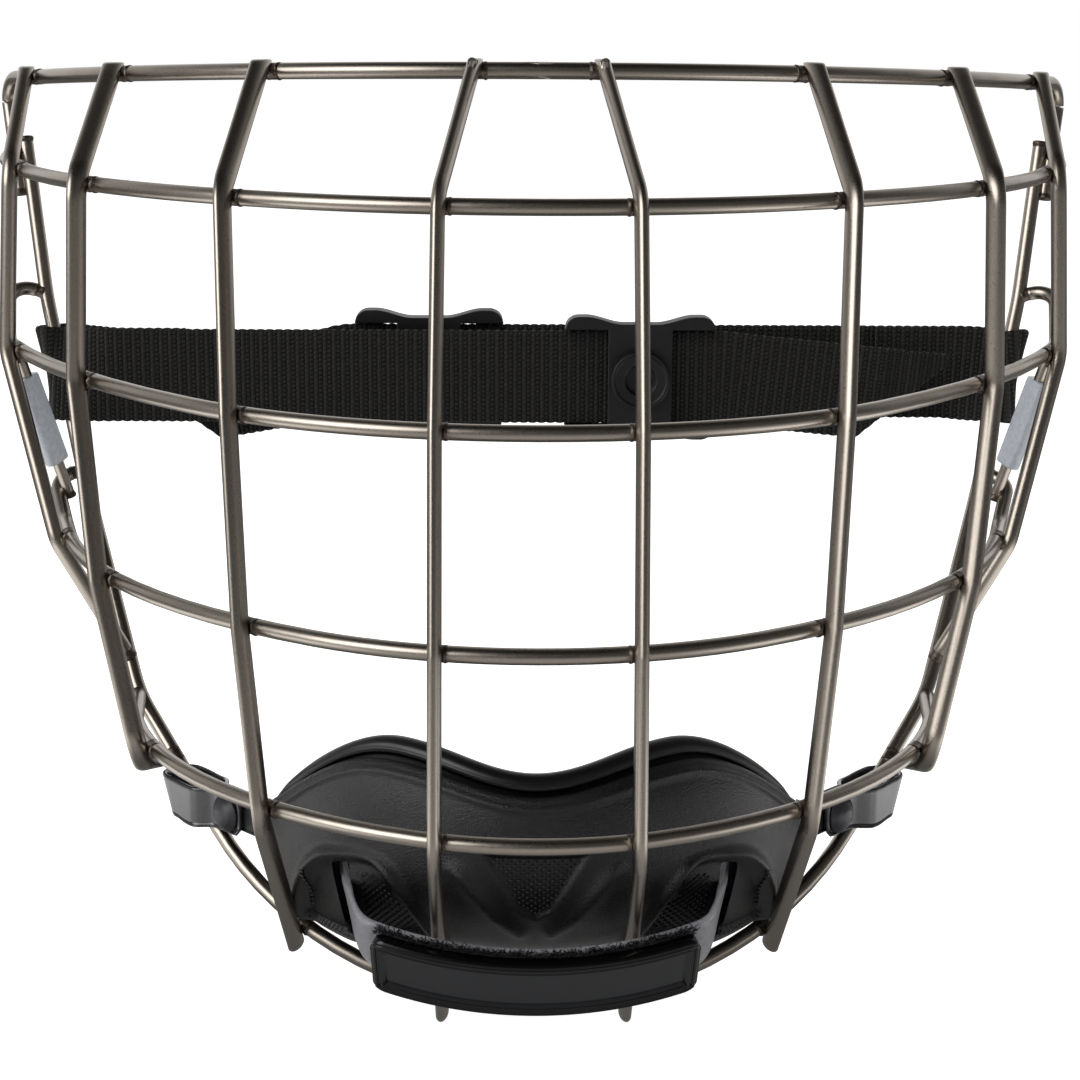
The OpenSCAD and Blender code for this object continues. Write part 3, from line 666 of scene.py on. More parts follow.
# The right side's corners: the top rim's, its lower end, and the lower rim's from its lap down
TEMPLE = np.array([113.4, 91, -91 * RIM_SLOPE])
UPPER_END = np.array([109.9, 85.4, -29])
LAP = np.array([108.9, 87.2, -17])
EAR = np.array([104.5, 80.5, -50])
CHEEK = np.array([95.5, 69, -89])
JAW = chin_at(JAW_X, CHIN_RUN)


def on_line(a, b, z):
    """The point of the line from a to b at height z."""
    return a + (b - a) * (z - a[2]) / (b[2] - a[2])


# Where the outermost upright meets the lower rim
OUTER_FOOT = on_line(CHEEK, JAW, -DROPS[4] + 6)


def butted(start, onto, rim):
    """The end of a wire that meets the axis of a rim wire square on, just in its surface."""
    return onto + unit(start - onto) * (rim / 2 - WELD_SINK)


def both_sides(half, radii):
    """A symmetrical route from its right half, with its bend radii."""
    half = np.asarray(half)
    return np.vstack([mirrored(half)[::-1], half]), list(radii[::-1]) + list(radii)


def outward(points, guide, off):
    """A route moved out over the wires that it crosses: each point by off along the guide made
    square to the route, and further at a bend, because the bend cuts its corner."""
    moved = []
    for k, b in enumerate(points):
        a, c = points[max(0, k - 1)], points[min(len(points) - 1, k + 1)]
        angle = turn(a, b, c) if 0 < k < len(points) - 1 else 0
        pull = 0 if angle < math.radians(1) else (
            unit(unit(a - b) + unit(c - b)) * KINK_R * (1 / math.cos(angle / 2) - 1))
        moved.append(b + square_to(guide, unit(c - a)) * off - pull)
    return moved


def upright_guide(j):
    """The way in which an oval upright's long side points."""
    a = math.radians(FACING[j])
    return OUTER_GUIDE if j == 0 else np.array([math.sin(a), -math.cos(a), -0.12])


def upright_section(j, sizes):
    """Width and depth of upright j, which is round where it is the outermost."""
    return (sizes.outer / MM,) * 2 if j == 0 else (sizes.upright_wide / MM, sizes.upright_deep / MM)


def upright_route(j, sizes):
    """The route, bend radii and top height of upright j on the right."""
    top = cross_at(0, CROSS_X[j][0])[2] + TOP_OVER
    foot = foot_at(FOOT_X[j]) if j else OUTER_FOOT
    on = [cross_at(i, x) for i, x in enumerate(CROSS_X[j])] + [foot]
    off = upright_section(j, sizes)[1] / 2 + sizes.bar / MM / 2 - WELD_SINK
    p = outward(on, upright_guide(j), off)
    if j == 0:
        return p[:4] + [butted(p[3], foot, sizes.rim / MM)], [0, KINK_R, KINK_R, KINK_R, 0], top
    p[-1] = p[-1] + unit(p[-1] - p[-2]) * (1 if j == 1 else CHIN_OVER)
    return p, [KINK_R] * len(p), top


STAY_TOP = cross_at(2, 106.5) - [0, -0.5, BAR / 2 - WELD_SINK]
MOUTH_TURN, MOUTH_HOOK = plan_end(3, 57), np.array([101.9, 68.3, -DROPS[3] + 7.5])
STAY_FOOT = MOUTH_TURN + (MOUTH_HOOK - MOUTH_TURN) * 0.64 - [BAR / 2 + STAY / 2 - 0.45, 0, 0.6]
# The corners past each bar's plan with their bend radii, and the point that its end meets
HOOKS = {
    1: ([plan_end(1, 82)], [8], on_line(TEMPLE, UPPER_END, -DROPS[1] + 2)),
    2: ([plan_end(2, 66), np.array([112, 79, -DROPS[2] + 10.5])], [8, 4.5],
        on_line(EAR, CHEEK, -DROPS[2] + 8.5)),
    3: ([MOUTH_TURN, MOUTH_HOOK], [8, 4.5], on_line(EAR, CHEEK, -DROPS[3] + 8)),
    4: ([plan_end(4, JAW_Y - 20)], [8], JAW),
}


def wire_routes(sizes):
    """Each wire node's route: its line, guide, width, depth and flat top."""
    rim, bar = sizes.rim / MM, sizes.bar / MM
    up = np.array([0.02, 0.03, 1])
    routes = {}

    def lay(node, points, radii, guide, wide, deep, top=None):
        routes[node] = (evened(bent(points, radii), 3.0), guide, wide, deep, top)

    points, radii = both_sides(plan_corners(0) + [plan_end(0, 78), TEMPLE, UPPER_END],
                               [PLANS[0][1], PLANS[0][3], 25, 5, 0])
    lay("top_rim", points, radii, up, rim, rim)
    side = [JAW, CHEEK, EAR, LAP]
    apex = chin_at(0, -CHIN_R * (1 / math.cos(CHIN_HALF) - 1))
    points = np.vstack([mirrored(side)[::-1], apex[None], side])
    lay("lower_rim", points, [0, 40, 40, 30, CHIN_R, 30, 40, 40, 0], up, rim, rim)
    for i, node in ((1, "brow_bar"), (2, "eye_bar"), (3, "mouth_bar"), (4, "chin_bar")):
        ends, bends, onto = HOOKS[i]
        half = plan_corners(i) + ends + [butted(ends[-1], onto, rim)]
        points, radii = both_sides(half, [PLANS[i][1], PLANS[i][3], *bends, 0])
        lay(node, points, radii, up, bar, bar)
    for j in range(4):
        points, radii, top = upright_route(j, sizes)
        guide, size = upright_guide(j), upright_section(j, sizes)
        lay(f"upright_{8 - j}", points, radii, guide, *size, top)
        lay(f"upright_{j + 1}", mirrored(points), radii, mirrored(guide), *size, top)
    for name, flip in SIDES:
        lay(f"side_stay_{name}", [STAY_TOP * flip, STAY_FOOT * flip], [0, 0], up * flip,
            sizes.stay / MM, sizes.stay / MM)
    return routes


def crossings(sizes):
    """Each weld of an upright on a wire, on the right: the wire's axis point, its way towards
    the middle, the way out to the upright, the wire's radius and half the upright's width
    along the wire."""
    found = []
    for j in range(4):
        guide = upright_guide(j)
        wide, deep = upright_section(j, sizes)
        spots = [(lambda x, i=i: cross_at(i, x), x) for i, x in enumerate(CROSS_X[j])]
        if j:
            spots.append((foot_at, FOOT_X[j]))
        for k, (wire_at, x) in enumerate(spots):
            inward = unit(wire_at(x - 0.5) - wire_at(x + 0.5))
            slant = inward @ unit(guide)
            span = math.hypot(wide / 2 * math.sqrt(1 - min(1, slant ** 2)), deep / 2 * slant)
            # The first spot is on the top rim, and the sixth on the chin rim
            radius = (sizes.rim if k in (0, 5) else sizes.bar) / 2 / MM
            found.append((wire_at(x), inward, square_to(guide, inward), radius, span))
    return found


def bell(x, middle, reach):
    """1 in the middle, falling off as exp of minus the distance over the reach, squared."""
    return np.exp(-((x - middle) / reach) ** 2)


def weld_bead(centre, inward, out, radius, span, rng):
    """A fillet of weld metal round a wire under the upright on it. At distance s along the wire
    it swells by 0.22 mm times a bell 0.05 mm past the upright's edge on the side towards the
    middle, by 0.18 mm times a bell on the other side, and by 0.12 * exp(-(s / span) to the 4)
    between. The swell is larger in front than behind, uneven by two seeded waves round it, and
    moved outwards by 0.3 of itself."""
    s = np.linspace(-span - 0.6, span + 0.6, 25)[:, None]
    t = full_turn(20)[None]
    swell = (0.22 * bell(s, span + 0.05, 0.3) + 0.18 * bell(s, -span - 0.05, 0.3)
             + 0.12 * np.exp(-(s / span) ** 4))
    waves = (1 + 0.2 * np.sin(3 * t + rng.uniform(0, 6) + s)
             + 0.14 * np.sin(5 * t + rng.uniform(0, 6) - 2 * s))
    r = radius - 0.04 + swell * (0.7 + 0.3 * np.cos(t)) * waves
    r[[0, -1]] = radius - 0.4
    return (turned(centre, inward, s, out, np.cross(inward, out), r, t)
            + 0.3 * swell[..., None] * out)


def end_bead(end, way, radius, rng):
    """A fillet where a wire's end meets another wire: it swells by 0.24 mm times a bell 0.5 mm
    past the end, along way, and is uneven by two seeded waves round it."""
    side = unit(np.cross(way, [0.21, 0.34, 0.9]))
    s = np.linspace(-1.9, 0.9, 12)[:, None]
    t = full_turn(20)[None]
    waves = (1 + 0.25 * np.sin(3 * t + rng.uniform(0, 6))
             + 0.15 * np.sin(4 * t + rng.uniform(0, 6) + s))
    r = radius - 0.04 + 0.24 * bell(s, 0.5, 0.45) * waves
    r[0] = radius - 0.4
    return turned(end, way, s, side, np.cross(way, side), r, t)


class MASK_OT_wires(bpy.types.Operator):
    """Make the sixteen cage wires and side stays"""
    bl_idname = "mask.wires"
    bl_label = "Cage wires"

    def execute(self, context):
        sizes = context.scene.mask_cage
        welds = [c[0] + c[2] * 1.5 for c in crossings(sizes)]
        welds += [butted(ends[-1], onto, sizes.rim / MM) for ends, _, onto in HOOKS.values()]
        welds += [UPPER_END, LAP, STAY_TOP, STAY_FOOT]
        welds = np.vstack([welds, mirrored(welds)])
        metal = titanium_wire(sizes)
        for node, (line, guide, wide, deep, top) in wire_routes(sizes).items():
            shape = surface(f"{node}_wire", [tube(line, guide, wide, deep, 24, top)], metal,
                            "cage", (node,))
            # The scorch fades over 2.4 mm from the nearest weld
            far = np.linalg.norm(vertices_of(shape.data)[:, None] - welds[None], axis=2).min(1)
            mark(shape.data, "heat", bell(far, 0, 2.4))
        return {"FINISHED"}


class MASK_OT_welds(bpy.types.Operator):
    """Make the weld beads at the crossings and at the wires' ends"""
    bl_idname = "mask.welds"
    bl_label = "Weld beads"

    def execute(self, context):
        sizes = context.scene.mask_cage
        rng = np.random.default_rng(7)
        rim, bar, stay, outer = (
            size / 2 / MM for size in (sizes.rim, sizes.bar, sizes.stay, sizes.outer))
        ends = [(butted(points[-1], onto, 2 * rim), onto, bar)
                for points, _, onto in HOOKS.values()]
        ends += [(upright_route(0, sizes)[0][-1], OUTER_FOOT, outer),
                 (STAY_TOP - [0, 0, 0.4], STAY_TOP + [0, 0, 2], stay),
                 (STAY_FOOT + unit(STAY_TOP - STAY_FOOT) * 0.3, STAY_FOOT, stay),
                 (UPPER_END + unit(TEMPLE - UPPER_END) * 0.8, UPPER_END, rim),
                 (LAP + unit(EAR - LAP) * 0.8, LAP, rim)]
        beads = []
        for _, flip in SIDES:
            beads += [weld_bead(centre * flip, inward * flip, out * flip, radius, span, rng)
                      for centre, inward, out, radius, span in crossings(sizes)]
            beads += [end_bead(end * flip, unit(onto - end) * flip, radius, rng)
                      for end, onto, radius in ends]
        surface("weld_beads", beads, weld_oxide(sizes), "cage", ())
        return {"FINISHED"}


class MASK_OT_labels(bpy.types.Operator):
    """Make the two blank film sleeves on the side stays"""
    bl_idname = "mask.labels"
    bl_label = "Blank labels"

    def execute(self, context):
        # Clear-coated film, which looks pale and slightly glossy
        film = moulded("label_film", context.scene.mask_cage.label, roughness=0.32, grit=0.9,
                       depth=0.03, grain_top_highlight=1.08, coat=0.4)
        way = unit(STAY_FOOT - STAY_TOP)
        pole, spin = math.acos(way[2]), math.atan2(way[1], way[0])
        face = (Matrix.Rotation(spin, 3, "Z") @ Matrix.Rotation(pole, 3, "Y")
                @ Matrix.Rotation(math.radians(25), 3, "Z"))
        out = np.array(face)[:, 0]
        t = full_turn(40)
        # A stadium section: a circle pulled apart along the sleeve's wider way
        ring = np.clip(np.cos(t) * 3.4, -1.3, 1.3)[:, None] * out + 1.6 * (
            np.cos(t)[:, None] * out * 0.999 + np.sin(t)[:, None] * np.cross(way, out))
        lengths = np.array([0, 0.15, 0.5, 6, 13, 19, 19.35, 19.5])
        scale = np.array([0.86, 0.97, 1, 1, 1, 1, 0.97, 0.86])
        grid = (STAY_TOP + way * 5.6 + way * lengths[:, None, None]
                + ring[None] * scale[:, None, None])
        for name, flip in SIDES:
            surface(f"label_{name}_film", [grid * flip], film, "cage", (f"label_{name}",))
        return {"FINISHED"}


# The side straps

# Where a strap is sewn round the lower rim, the rim's way there, and the two straps' distance
STRAP_HOLD = on_line(EAR, CHEEK, -65.8)
STRAP_WAY = unit(CHEEK - EAR)
STRAP_GAP = 9.5
SLIDER_X, SLIDER_L, SLIDER_H, SLIDER_T = 22.5, 32, 23, 4.9
SLIDER_HUMP, SLIDER_ROUND = 1.6, 3
# Half the height of the webbing's channel in a slider
CHANNEL = 10.3
# The strap's tail past the slider, and the length of the yarn's floats in the weave
TAIL = 42
YARN_FLOAT = 0.96


def strap_grid(back, slant, sizes):
    """One strap in the right side's coordinates: a route in plan, from the sewn end round the
    rim and on to the slider and the tail, carrying a band whose ribs swell it by the size of
    cos(pi * s / spacing), and whose edges stand out by 0.2 mm at every second rib. The band's
    width leans with the rim at its loop and is upright past it. Past the slider the band turns
    down by a slant, and its lower corner is cut off."""
    wide, thick, rib = sizes.wide / MM, sizes.thick / MM, sizes.rib / MM
    hx, hy, hz = STRAP_HOLD
    lie = hy + back * STRAP_GAP / 2
    under = lie - back * (thick + 0.12)
    far = -SLIDER_X - SLIDER_L / 2 + 0.5
    stops = [(hx - 27, under), (hx - 12.5, under), (hx + 2.5, hy - 3.9 * back),
             (hx + 2.7, hy + 2.8 * back), (hx - 11, lie), (far - 55, lie)]
    flat = bent([(x, y, hz) for x, y in stops], [0, 7, 2.1, 2.3, 8, 0], 9)
    flat_run = run_length(flat)
    s = np.arange(0, flat_run[-1], rib / 5)
    line = spaced(flat, flat_run, s)
    way = ways(line)
    lean = smooth(line[:, :1], hx - 13, hx - 2)
    across = square_to(unit(-STRAP_WAY * lean + UP * (1 - lean)), way)
    normal = np.cross(way, across)
    swell = np.abs(np.cos(math.pi * s / rib))
    low = np.clip(far - line[:, 0] - (TAIL - 10), 0, 19.2)
    size = wide - 0.4 + 0.4 * np.abs(np.cos(math.pi * s / rib / 2)) - low
    grid = band(line + across * (low / 2)[:, None], across, normal, size,
                thick * (0.7 + 0.3 * swell), 16)
    past = far - grid[..., 0]
    fall = np.radians(slant) * np.clip(past / 6, 0, 1)
    rise = grid[..., 2] - hz
    x = np.where(past > 0, far - past * np.cos(fall) - rise * np.sin(fall), grid[..., 0])
    z = np.where(past > 0, hz + rise * np.cos(fall) - past * np.sin(fall), grid[..., 2])
    return np.stack([x, grid[..., 1], z], -1)[low < 17.8]


class MASK_OT_straps(bpy.types.Operator):
    """Make the two ribbed webbing straps"""
    bl_idname = "mask.straps"
    bl_label = "Side straps"

    def execute(self, context):
        sizes = context.scene.mask_straps
        weave = polyester_webbing(sizes)
        for name, flip, back, slant in (("left", [-1, 1, 1], -1, 5.5), ("right", [1, 1, 1], 1, 10)):
            surface(f"strap_{name}_webbing", [strap_grid(back, slant, sizes) * flip], weave,
                    f"{name}_strap", (f"strap_{name}",))
        return {"FINISHED"}


def slider_rings():
    """A slider in its own frame: an outline pulled through its depth. The top edge stands at
    11.5 mm plus a hump of 1.6 mm that rises as a smooth step towards each end, and past 13 mm
    it falls as a quarter circle of 3 mm."""
    end = SLIDER_L / 2
    flat = end - SLIDER_ROUND
    x = np.concatenate([np.linspace(-end, -flat, 9)[:-1], np.linspace(-flat, flat, 53),
                        np.linspace(flat, end, 9)[1:]])
    past = np.clip(np.abs(x) - flat, 0, SLIDER_ROUND)
    top = (SLIDER_H / 2 + SLIDER_HUMP * smooth(np.abs(x), 3.5, 11.5) - SLIDER_ROUND
           + np.sqrt(SLIDER_ROUND ** 2 - past ** 2))
    outline = np.concatenate([np.stack([x, top], 1), np.stack([x, -top], 1)[::-1]])
    return np.stack([np.insert(outline, 1, y, axis=1) for y in (-SLIDER_T / 2, SLIDER_T / 2)])


class MASK_OT_sliders(bpy.types.Operator):
    """Make the sliders with their press-stud sockets and spring rings"""
    bl_idname = "mask.sliders"
    bl_label = "Sliders and sockets"

    def execute(self, context):
        sizes = context.scene.mask_straps
        # Injection-moulded nylon: a dull black, the tops of its grain lightened as a painted
        # highlight
        nylon = moulded("nylon_moulding", sizes.moulding, roughness=0.44, grit=0.5, depth=0.05,
                        grain_top_highlight=1.3)
        # Baked lacquer: smoother than the slider under it
        lacquer = moulded("socket_lacquer", shaded(sizes.moulding, 0.9), roughness=0.4, grit=0.7,
                          depth=0.02, grain_top_highlight=1.2)
        # Blackened steel: a dark metal, so that the ring glints in its socket
        steel = moulded("blackened_spring_steel", linear("#2a2a2b"), roughness=0.35, grit=0.4,
                        depth=0.01)
        feed(steel.node_tree, steel.node_tree.nodes["Principled BSDF"], {"Metallic": 1.0})
        profile = rounded_profile(
            [(0.05, 0.7), (3.2, 0.7), (3.2, 1.5), (3.5, 1.5), (3.5, 2.0), (3.2, 2.0), (3.2, 2.6),
             (5.3, 2.6), (5.5, 2.9), (6.15, 2.9), (6.15, 0), (1.48, 0), (1.48, -1.5), (0.05, -1.5)],
            [0, .1, .05, .05, .05, .05, .3, .2, .15, .2, .1, .1, .1, 0])
        # The webbing's channel, the open ends in front and the open middle behind
        boxes = [((x0, y0, -CHANNEL), (x1, y1, CHANNEL)) for x0, x1, y0, y1 in (
            (-20, 20, -0.95, 0.95), (6.8, 20, -4, 0), (-20, -6.8, -4, 0), (-10, 10, 0, 4))]
        for name, flip in SIDES:
            body = f"{name}_slider"
            middle = np.array([SLIDER_X, STRAP_HOLD[1], STRAP_HOLD[2]]) * flip
            middle[1] -= flip[0] * STRAP_GAP / 2
            mesh = ringed_mesh(f"slider_{name}_moulding", slider_rings())
            mesh.transform(Matrix.Translation((middle * MM).tolist()))
            shape = piece(mesh.name, mesh, nylon, body, (f"slider_{name}",))
            cut(shape, [middle + box_rings(low, high) for low, high in boxes])
            bevelled(shape, 0.45)
            base = middle - [0, sizes.thick / MM / 2 + 0.3 + 1.5, 0]
            surface(f"socket_{name}_ring", [lathe(profile, base, (0, -1, 0))], lacquer, body,
                    (f"socket_{name}",))
            t = np.radians(np.linspace(20, 340, 60))
            ring = base + [0, -1.8, 0] + 3.3 * np.stack([np.cos(t), 0 * t, np.sin(t)], 1)
            surface(f"spring_{name}_wire", [tube(ring, (0, -1, 0), 0.6, 0.6, 12)], steel, body,
                    (f"stud_spring_{name}",))
        return {"FINISHED"}


# The chin cup

# The cup is a section of radius CUP_B that turns round an upright axis at depth CUP_Y. The
# section's centre is CUP_CORE from that axis, at height CUP_MID, so the cup's radius is CUP_R
CUP_Y, CUP_R, CUP_B = 28, 55, 30
CUP_CORE, CUP_MID = CUP_R - CUP_B, -134
# The top edge: the height of its two peaks, the dip between them and their place
PEAK, DIP, PEAK_X = -121.5, 4.2, 26.5
# The cup ends in a plane, this far in front of its axis, where it is about CUP_WIDE from it
CUP_BACK, CUP_WIDE = 6, 53
# Millimetres of the cup's face in one degree round it
PER_DEGREE = 0.96


def cup_top(x):
    """Height of the shell's top edge: a dip of half a cosine between two peaks, and a square
    fall past them."""
    a = np.abs(x)
    return np.where(a < PEAK_X, PEAK - DIP * (1 + np.cos(math.pi * a / PEAK_X)) / 2,
                    PEAK - 16 * ((a - PEAK_X) / 24) ** 2)


def section(a, theta, size=CUP_B):
    """Radius and height of the cup's section at plan angle a and section angle theta: centre +
    rho * (cos theta, sin theta), where rho makes |cos| to the n plus |sin| to the n equal to
    (size / rho) to the n. Above the middle n is 2, a circle, and below it n rises at the sides,
    where the shell is fuller."""
    n = 2 + np.where(theta < 0, 0.1 + 2.4 * smooth(np.abs(a), 26, 46), 0) * smooth(-theta, 0, 0.35)
    rho = size / (np.abs(np.cos(theta)) ** n + np.abs(np.sin(theta)) ** n) ** (1 / n)
    return CUP_CORE + rho * np.cos(theta), CUP_MID + rho * np.sin(theta)


def top_angle(a):
    """Section angle at which the cup meets its top edge, found by eight rounds of substitution."""
    theta = np.zeros_like(a)
    for _ in range(8):
        r, z = section(a, theta)
        rho = np.hypot(r - CUP_CORE, z - CUP_MID)
        rise = cup_top(r * np.sin(np.radians(a))) - CUP_MID
        theta = np.arcsin(np.clip(rise / rho, -0.95, 0.95))
    return theta


def cup_point(a, r, z):
    """A point at plan angle a, plan radius r and height z."""
    a = np.radians(a)
    return np.stack([r * np.sin(a), CUP_Y - r * np.cos(a), z + 0 * r], -1)


def path_distance(u, v, path):
    """The distance of each (u, v) from a polyline."""
    best = np.full(np.shape(u), 1e9)
    for (ax, ay), (bx, by) in zip(path[:-1], path[1:]):
        dx, dy = bx - ax, by - ay
        t = np.clip(((u - ax) * dx + (v - ay) * dy) / (dx * dx + dy * dy), 0, 1)
        best = np.minimum(best, np.hypot(u - ax - t * dx, v - ay - t * dy))
    return best


def inside(u, v, path):
    """Whether each (u, v) lies in a closed polygon, by counting crossings."""
    odd = np.zeros(np.shape(u), bool)
    for (ax, ay), (bx, by) in zip(path, path[1:] + path[:1]):
        if ay != by:
            odd ^= ((ay > v) != (by > v)) & (u < (bx - ax) * (v - ay) / (by - ay) + ax)
    return odd


# The shell's relief, as degrees round the cup and millimetres of height
ARCH = [(60, -159), (57, -154), (52, -147), (46.5, -142.5), (40.5, -140.2), (35, -139.4),
        (31, -140.3), (28, -144.5), (25.5, -150), (23.5, -158)]
ARCH_MESH = [(37.5, -143), (33, -142.8), (30.6, -145), (27.2, -152), (25.6, -158), (37.5, -158)]
CENTRE = [(-10.5, -136.2), (10.5, -136.2), (3.6, -148.6), (0, -150.6), (-3.6, -148.6)]
LIP = [(15.5, -139), (12.5, -143.5), (8.5, -149.5), (3.5, -153.5)]


def on_face(path, side=1):
    """A line of the relief in millimetres round the cup, on its own side or on the other."""
    return [(side * x * PER_DEGREE, y) for x, y in path]


def rounded_path(path, rounds=3):
    """A polyline with its corners cut, each round at a quarter and three quarters of each side."""
    path = np.array(path, float)
    for _ in range(rounds):
        near, far = path[:-1] * 0.75 + path[1:] * 0.25, path[:-1] * 0.25 + path[1:] * 0.75
        path = np.vstack([path[:1], np.stack([near, far], 1).reshape(-1, 2), path[-1:]])
    return path


def relief(a, z):
    """How far the shell's face stands out of its plain form: a raised arch over each slot with a
    hollow inside it, and a sunk field with raised lips in the middle. Each is a bell curve or a
    smooth step of the distance from its line."""
    u, side = a * PER_DEGREE, np.abs(a) * PER_DEGREE
    arch = on_face(rounded_path(ARCH).tolist())
    d = path_distance(side, z, arch)
    lift = 1.45 * bell(d, 0, 1.4) * smooth(-z, 138, 142)
    lift -= np.where(inside(side, z, arch), 1.25 * smooth(d, 0.6, 2.8), 0)
    field = on_face(CENTRE)
    e = path_distance(u, z, field + field[:1])
    lift -= np.where(inside(u, z, field), 0.75 * smooth(e, 0, 1.2), 0)
    for s in (1, -1):
        lift += 1.1 * bell(path_distance(u, z, on_face(LIP, s)), 0, 1.9) * smooth(-z, 137, 141)
    return lift


def face_out(at, along, below):
    """The way out of the cup's face at each point, square to two ways that lie in the face."""
    out = unit(np.cross(along, below))
    return out * np.sign((out * (at - [0, CUP_Y, CUP_MID])).sum(-1, keepdims=True))


def shell_grid(wall):
    """The shell: each ring runs down the outer face and back up the inner face, at one plan
    angle, from one end of the cup to the other. Near its top edge the face swells by a bell
    curve as a bead, and at the edge it falls back by another."""
    flank = math.degrees(math.acos(CUP_BACK / CUP_WIDE))
    a = np.linspace(-flank, flank, 560)[:, None]
    first = top_angle(a)
    fall = -math.pi / 2 - first
    r, z = section(a, first + fall * np.linspace(0, 1, 170)[None])
    face = cup_point(a, r, z)
    normal = face_out(face, np.gradient(face, axis=0), np.gradient(face, axis=1))
    steps = np.linalg.norm(np.diff(face, axis=1), axis=2)
    run = np.cumsum(np.hstack([np.zeros((len(a), 1)), steps]), 1)
    bead = 0.55 * bell(run, 2.3, 0.75) - 0.5 * bell(run, 0, 0.55)
    face = face + normal * (relief(a + 0 * z, z) + bead)[..., None]
    up = np.linspace(0.996, 0.004, 34)[None]
    lining = cup_point(a, *section(a, first + fall * up, CUP_B - wall))
    grid = np.concatenate([face, lining], 1)
    grid[..., 1] = np.minimum(grid[..., 1], CUP_Y - CUP_BACK)
    return grid


# The right slot: its place, the angle at which the strap runs through it, its lean and size
SLOT_AT = np.array([35.05, -5.85, -150.5])
SLOT_WAY, SLOT_ROLL = math.radians(82), math.radians(12)
SLOT_H, SLOT_T = 15.6, 3.8
# Height and thickness of the guessed wall behind each slot, a dark sheet that stands in for shade
SHADE_POCKET_H, SHADE_POCKET_T = 21, 1.2
# The right tab: the rivet's place, the way along the tab and the way out of it, and sizes
RIVET_AT = np.array([58.95, 17.49, -144.0])
TAB_WAY = np.array([math.cos(math.radians(47.18)), math.sin(math.radians(47.18)), 0])
TAB_OUT = np.array([TAB_WAY[1], -TAB_WAY[0], 0])
TAB_H, TAB_T = 8.5, 0.9
TONGUE_H, TONGUE_T, TONGUE_BACK = 7, 1.6, 18.4


def slot_axes():
    """The chin strap's way, thickness and width directions in the right slot."""
    way = np.array([math.cos(SLOT_WAY), math.sin(SLOT_WAY), 0])
    flat = np.array([-math.sin(SLOT_WAY), math.cos(SLOT_WAY), 0])
    thick = flat * math.cos(SLOT_ROLL) + np.array([0, 0, math.sin(SLOT_ROLL)])
    wide = -flat * math.sin(SLOT_ROLL) + np.array([0, 0, math.cos(SLOT_ROLL)])
    return way, thick, wide


class MASK_OT_shell(bpy.types.Operator):
    """Make the chin cup's moulded shell with its relief, slots and tongues"""
    bl_idname = "mask.shell"
    bl_label = "Cup shell"

    def execute(self, context):
        sizes = context.scene.mask_cup
        # Polyethylene from a spark-eroded mould: black with a coarse grain, whose tops are painted
        # much lighter as a sparkling highlight
        plastic = moulded("moulded_polyethylene", sizes.shell, roughness=0.26, grit=0.34,
                          depth=0.42, grain_top_highlight=2.4)
        shape = surface("cup_shell_moulding", [shell_grid(sizes.wall / MM)], plastic, "chin_cup",
                        ("cup_shell",))
        way, thick, wide = slot_axes()
        # The slot: a rounded rectangle, pulled through the wall
        t = full_turn(32)
        tall, deep = (size * np.sign(v) * np.abs(v) ** 0.4
                      for size, v in ((SLOT_H / 2, np.sin(t)), (SLOT_T / 2, np.cos(t))))
        ring = tall[:, None] * wide + (deep - 0.2)[:, None] * thick
        tool = SLOT_AT + ring + np.array([-7.5, 7.5])[:, None, None] * way
        cut(shape, [tool * flip for _, flip in SIDES])
        reach = np.r_[0, 0.3, np.linspace(1, 19.6, 12), 20.2, 20.7, 20.95, 21.0][:, None]
        high = np.r_[TONGUE_H * np.ones(14), 6.6, 5.8, 4.8, 4.2]
        tongue = band(RIVET_AT + TAB_WAY * (reach - TONGUE_BACK), UP, TAB_OUT, high, TONGUE_T, 8)
        # A guess at the inner wall of the pocket in which the strap's end lies, put there as a dark
        # wall that stands in for the shade behind the slot
        line = SLOT_AT + way * 9 - wide * 2 + thick * np.linspace(-4.2, 8, 7)[:, None]
        shade_pocket = band(line, wide, way, SHADE_POCKET_H, SHADE_POCKET_T, 6)
        for name, flip in SIDES:
            for form, grid in (("cup_tongue", tongue), ("slot_shade_pocket", shade_pocket)):
                surface(f"{form}_{name}", [grid * flip], plastic, "chin_cup", ())
        return {"FINISHED"}


def repeated(faces, size, count):
    """The faces of a block of so many vertices, for each of a count of blocks."""
    steps = size * np.arange(count)[:, None, None]
    return (steps + np.array(faces)).reshape(-1, len(faces[0])).tolist()


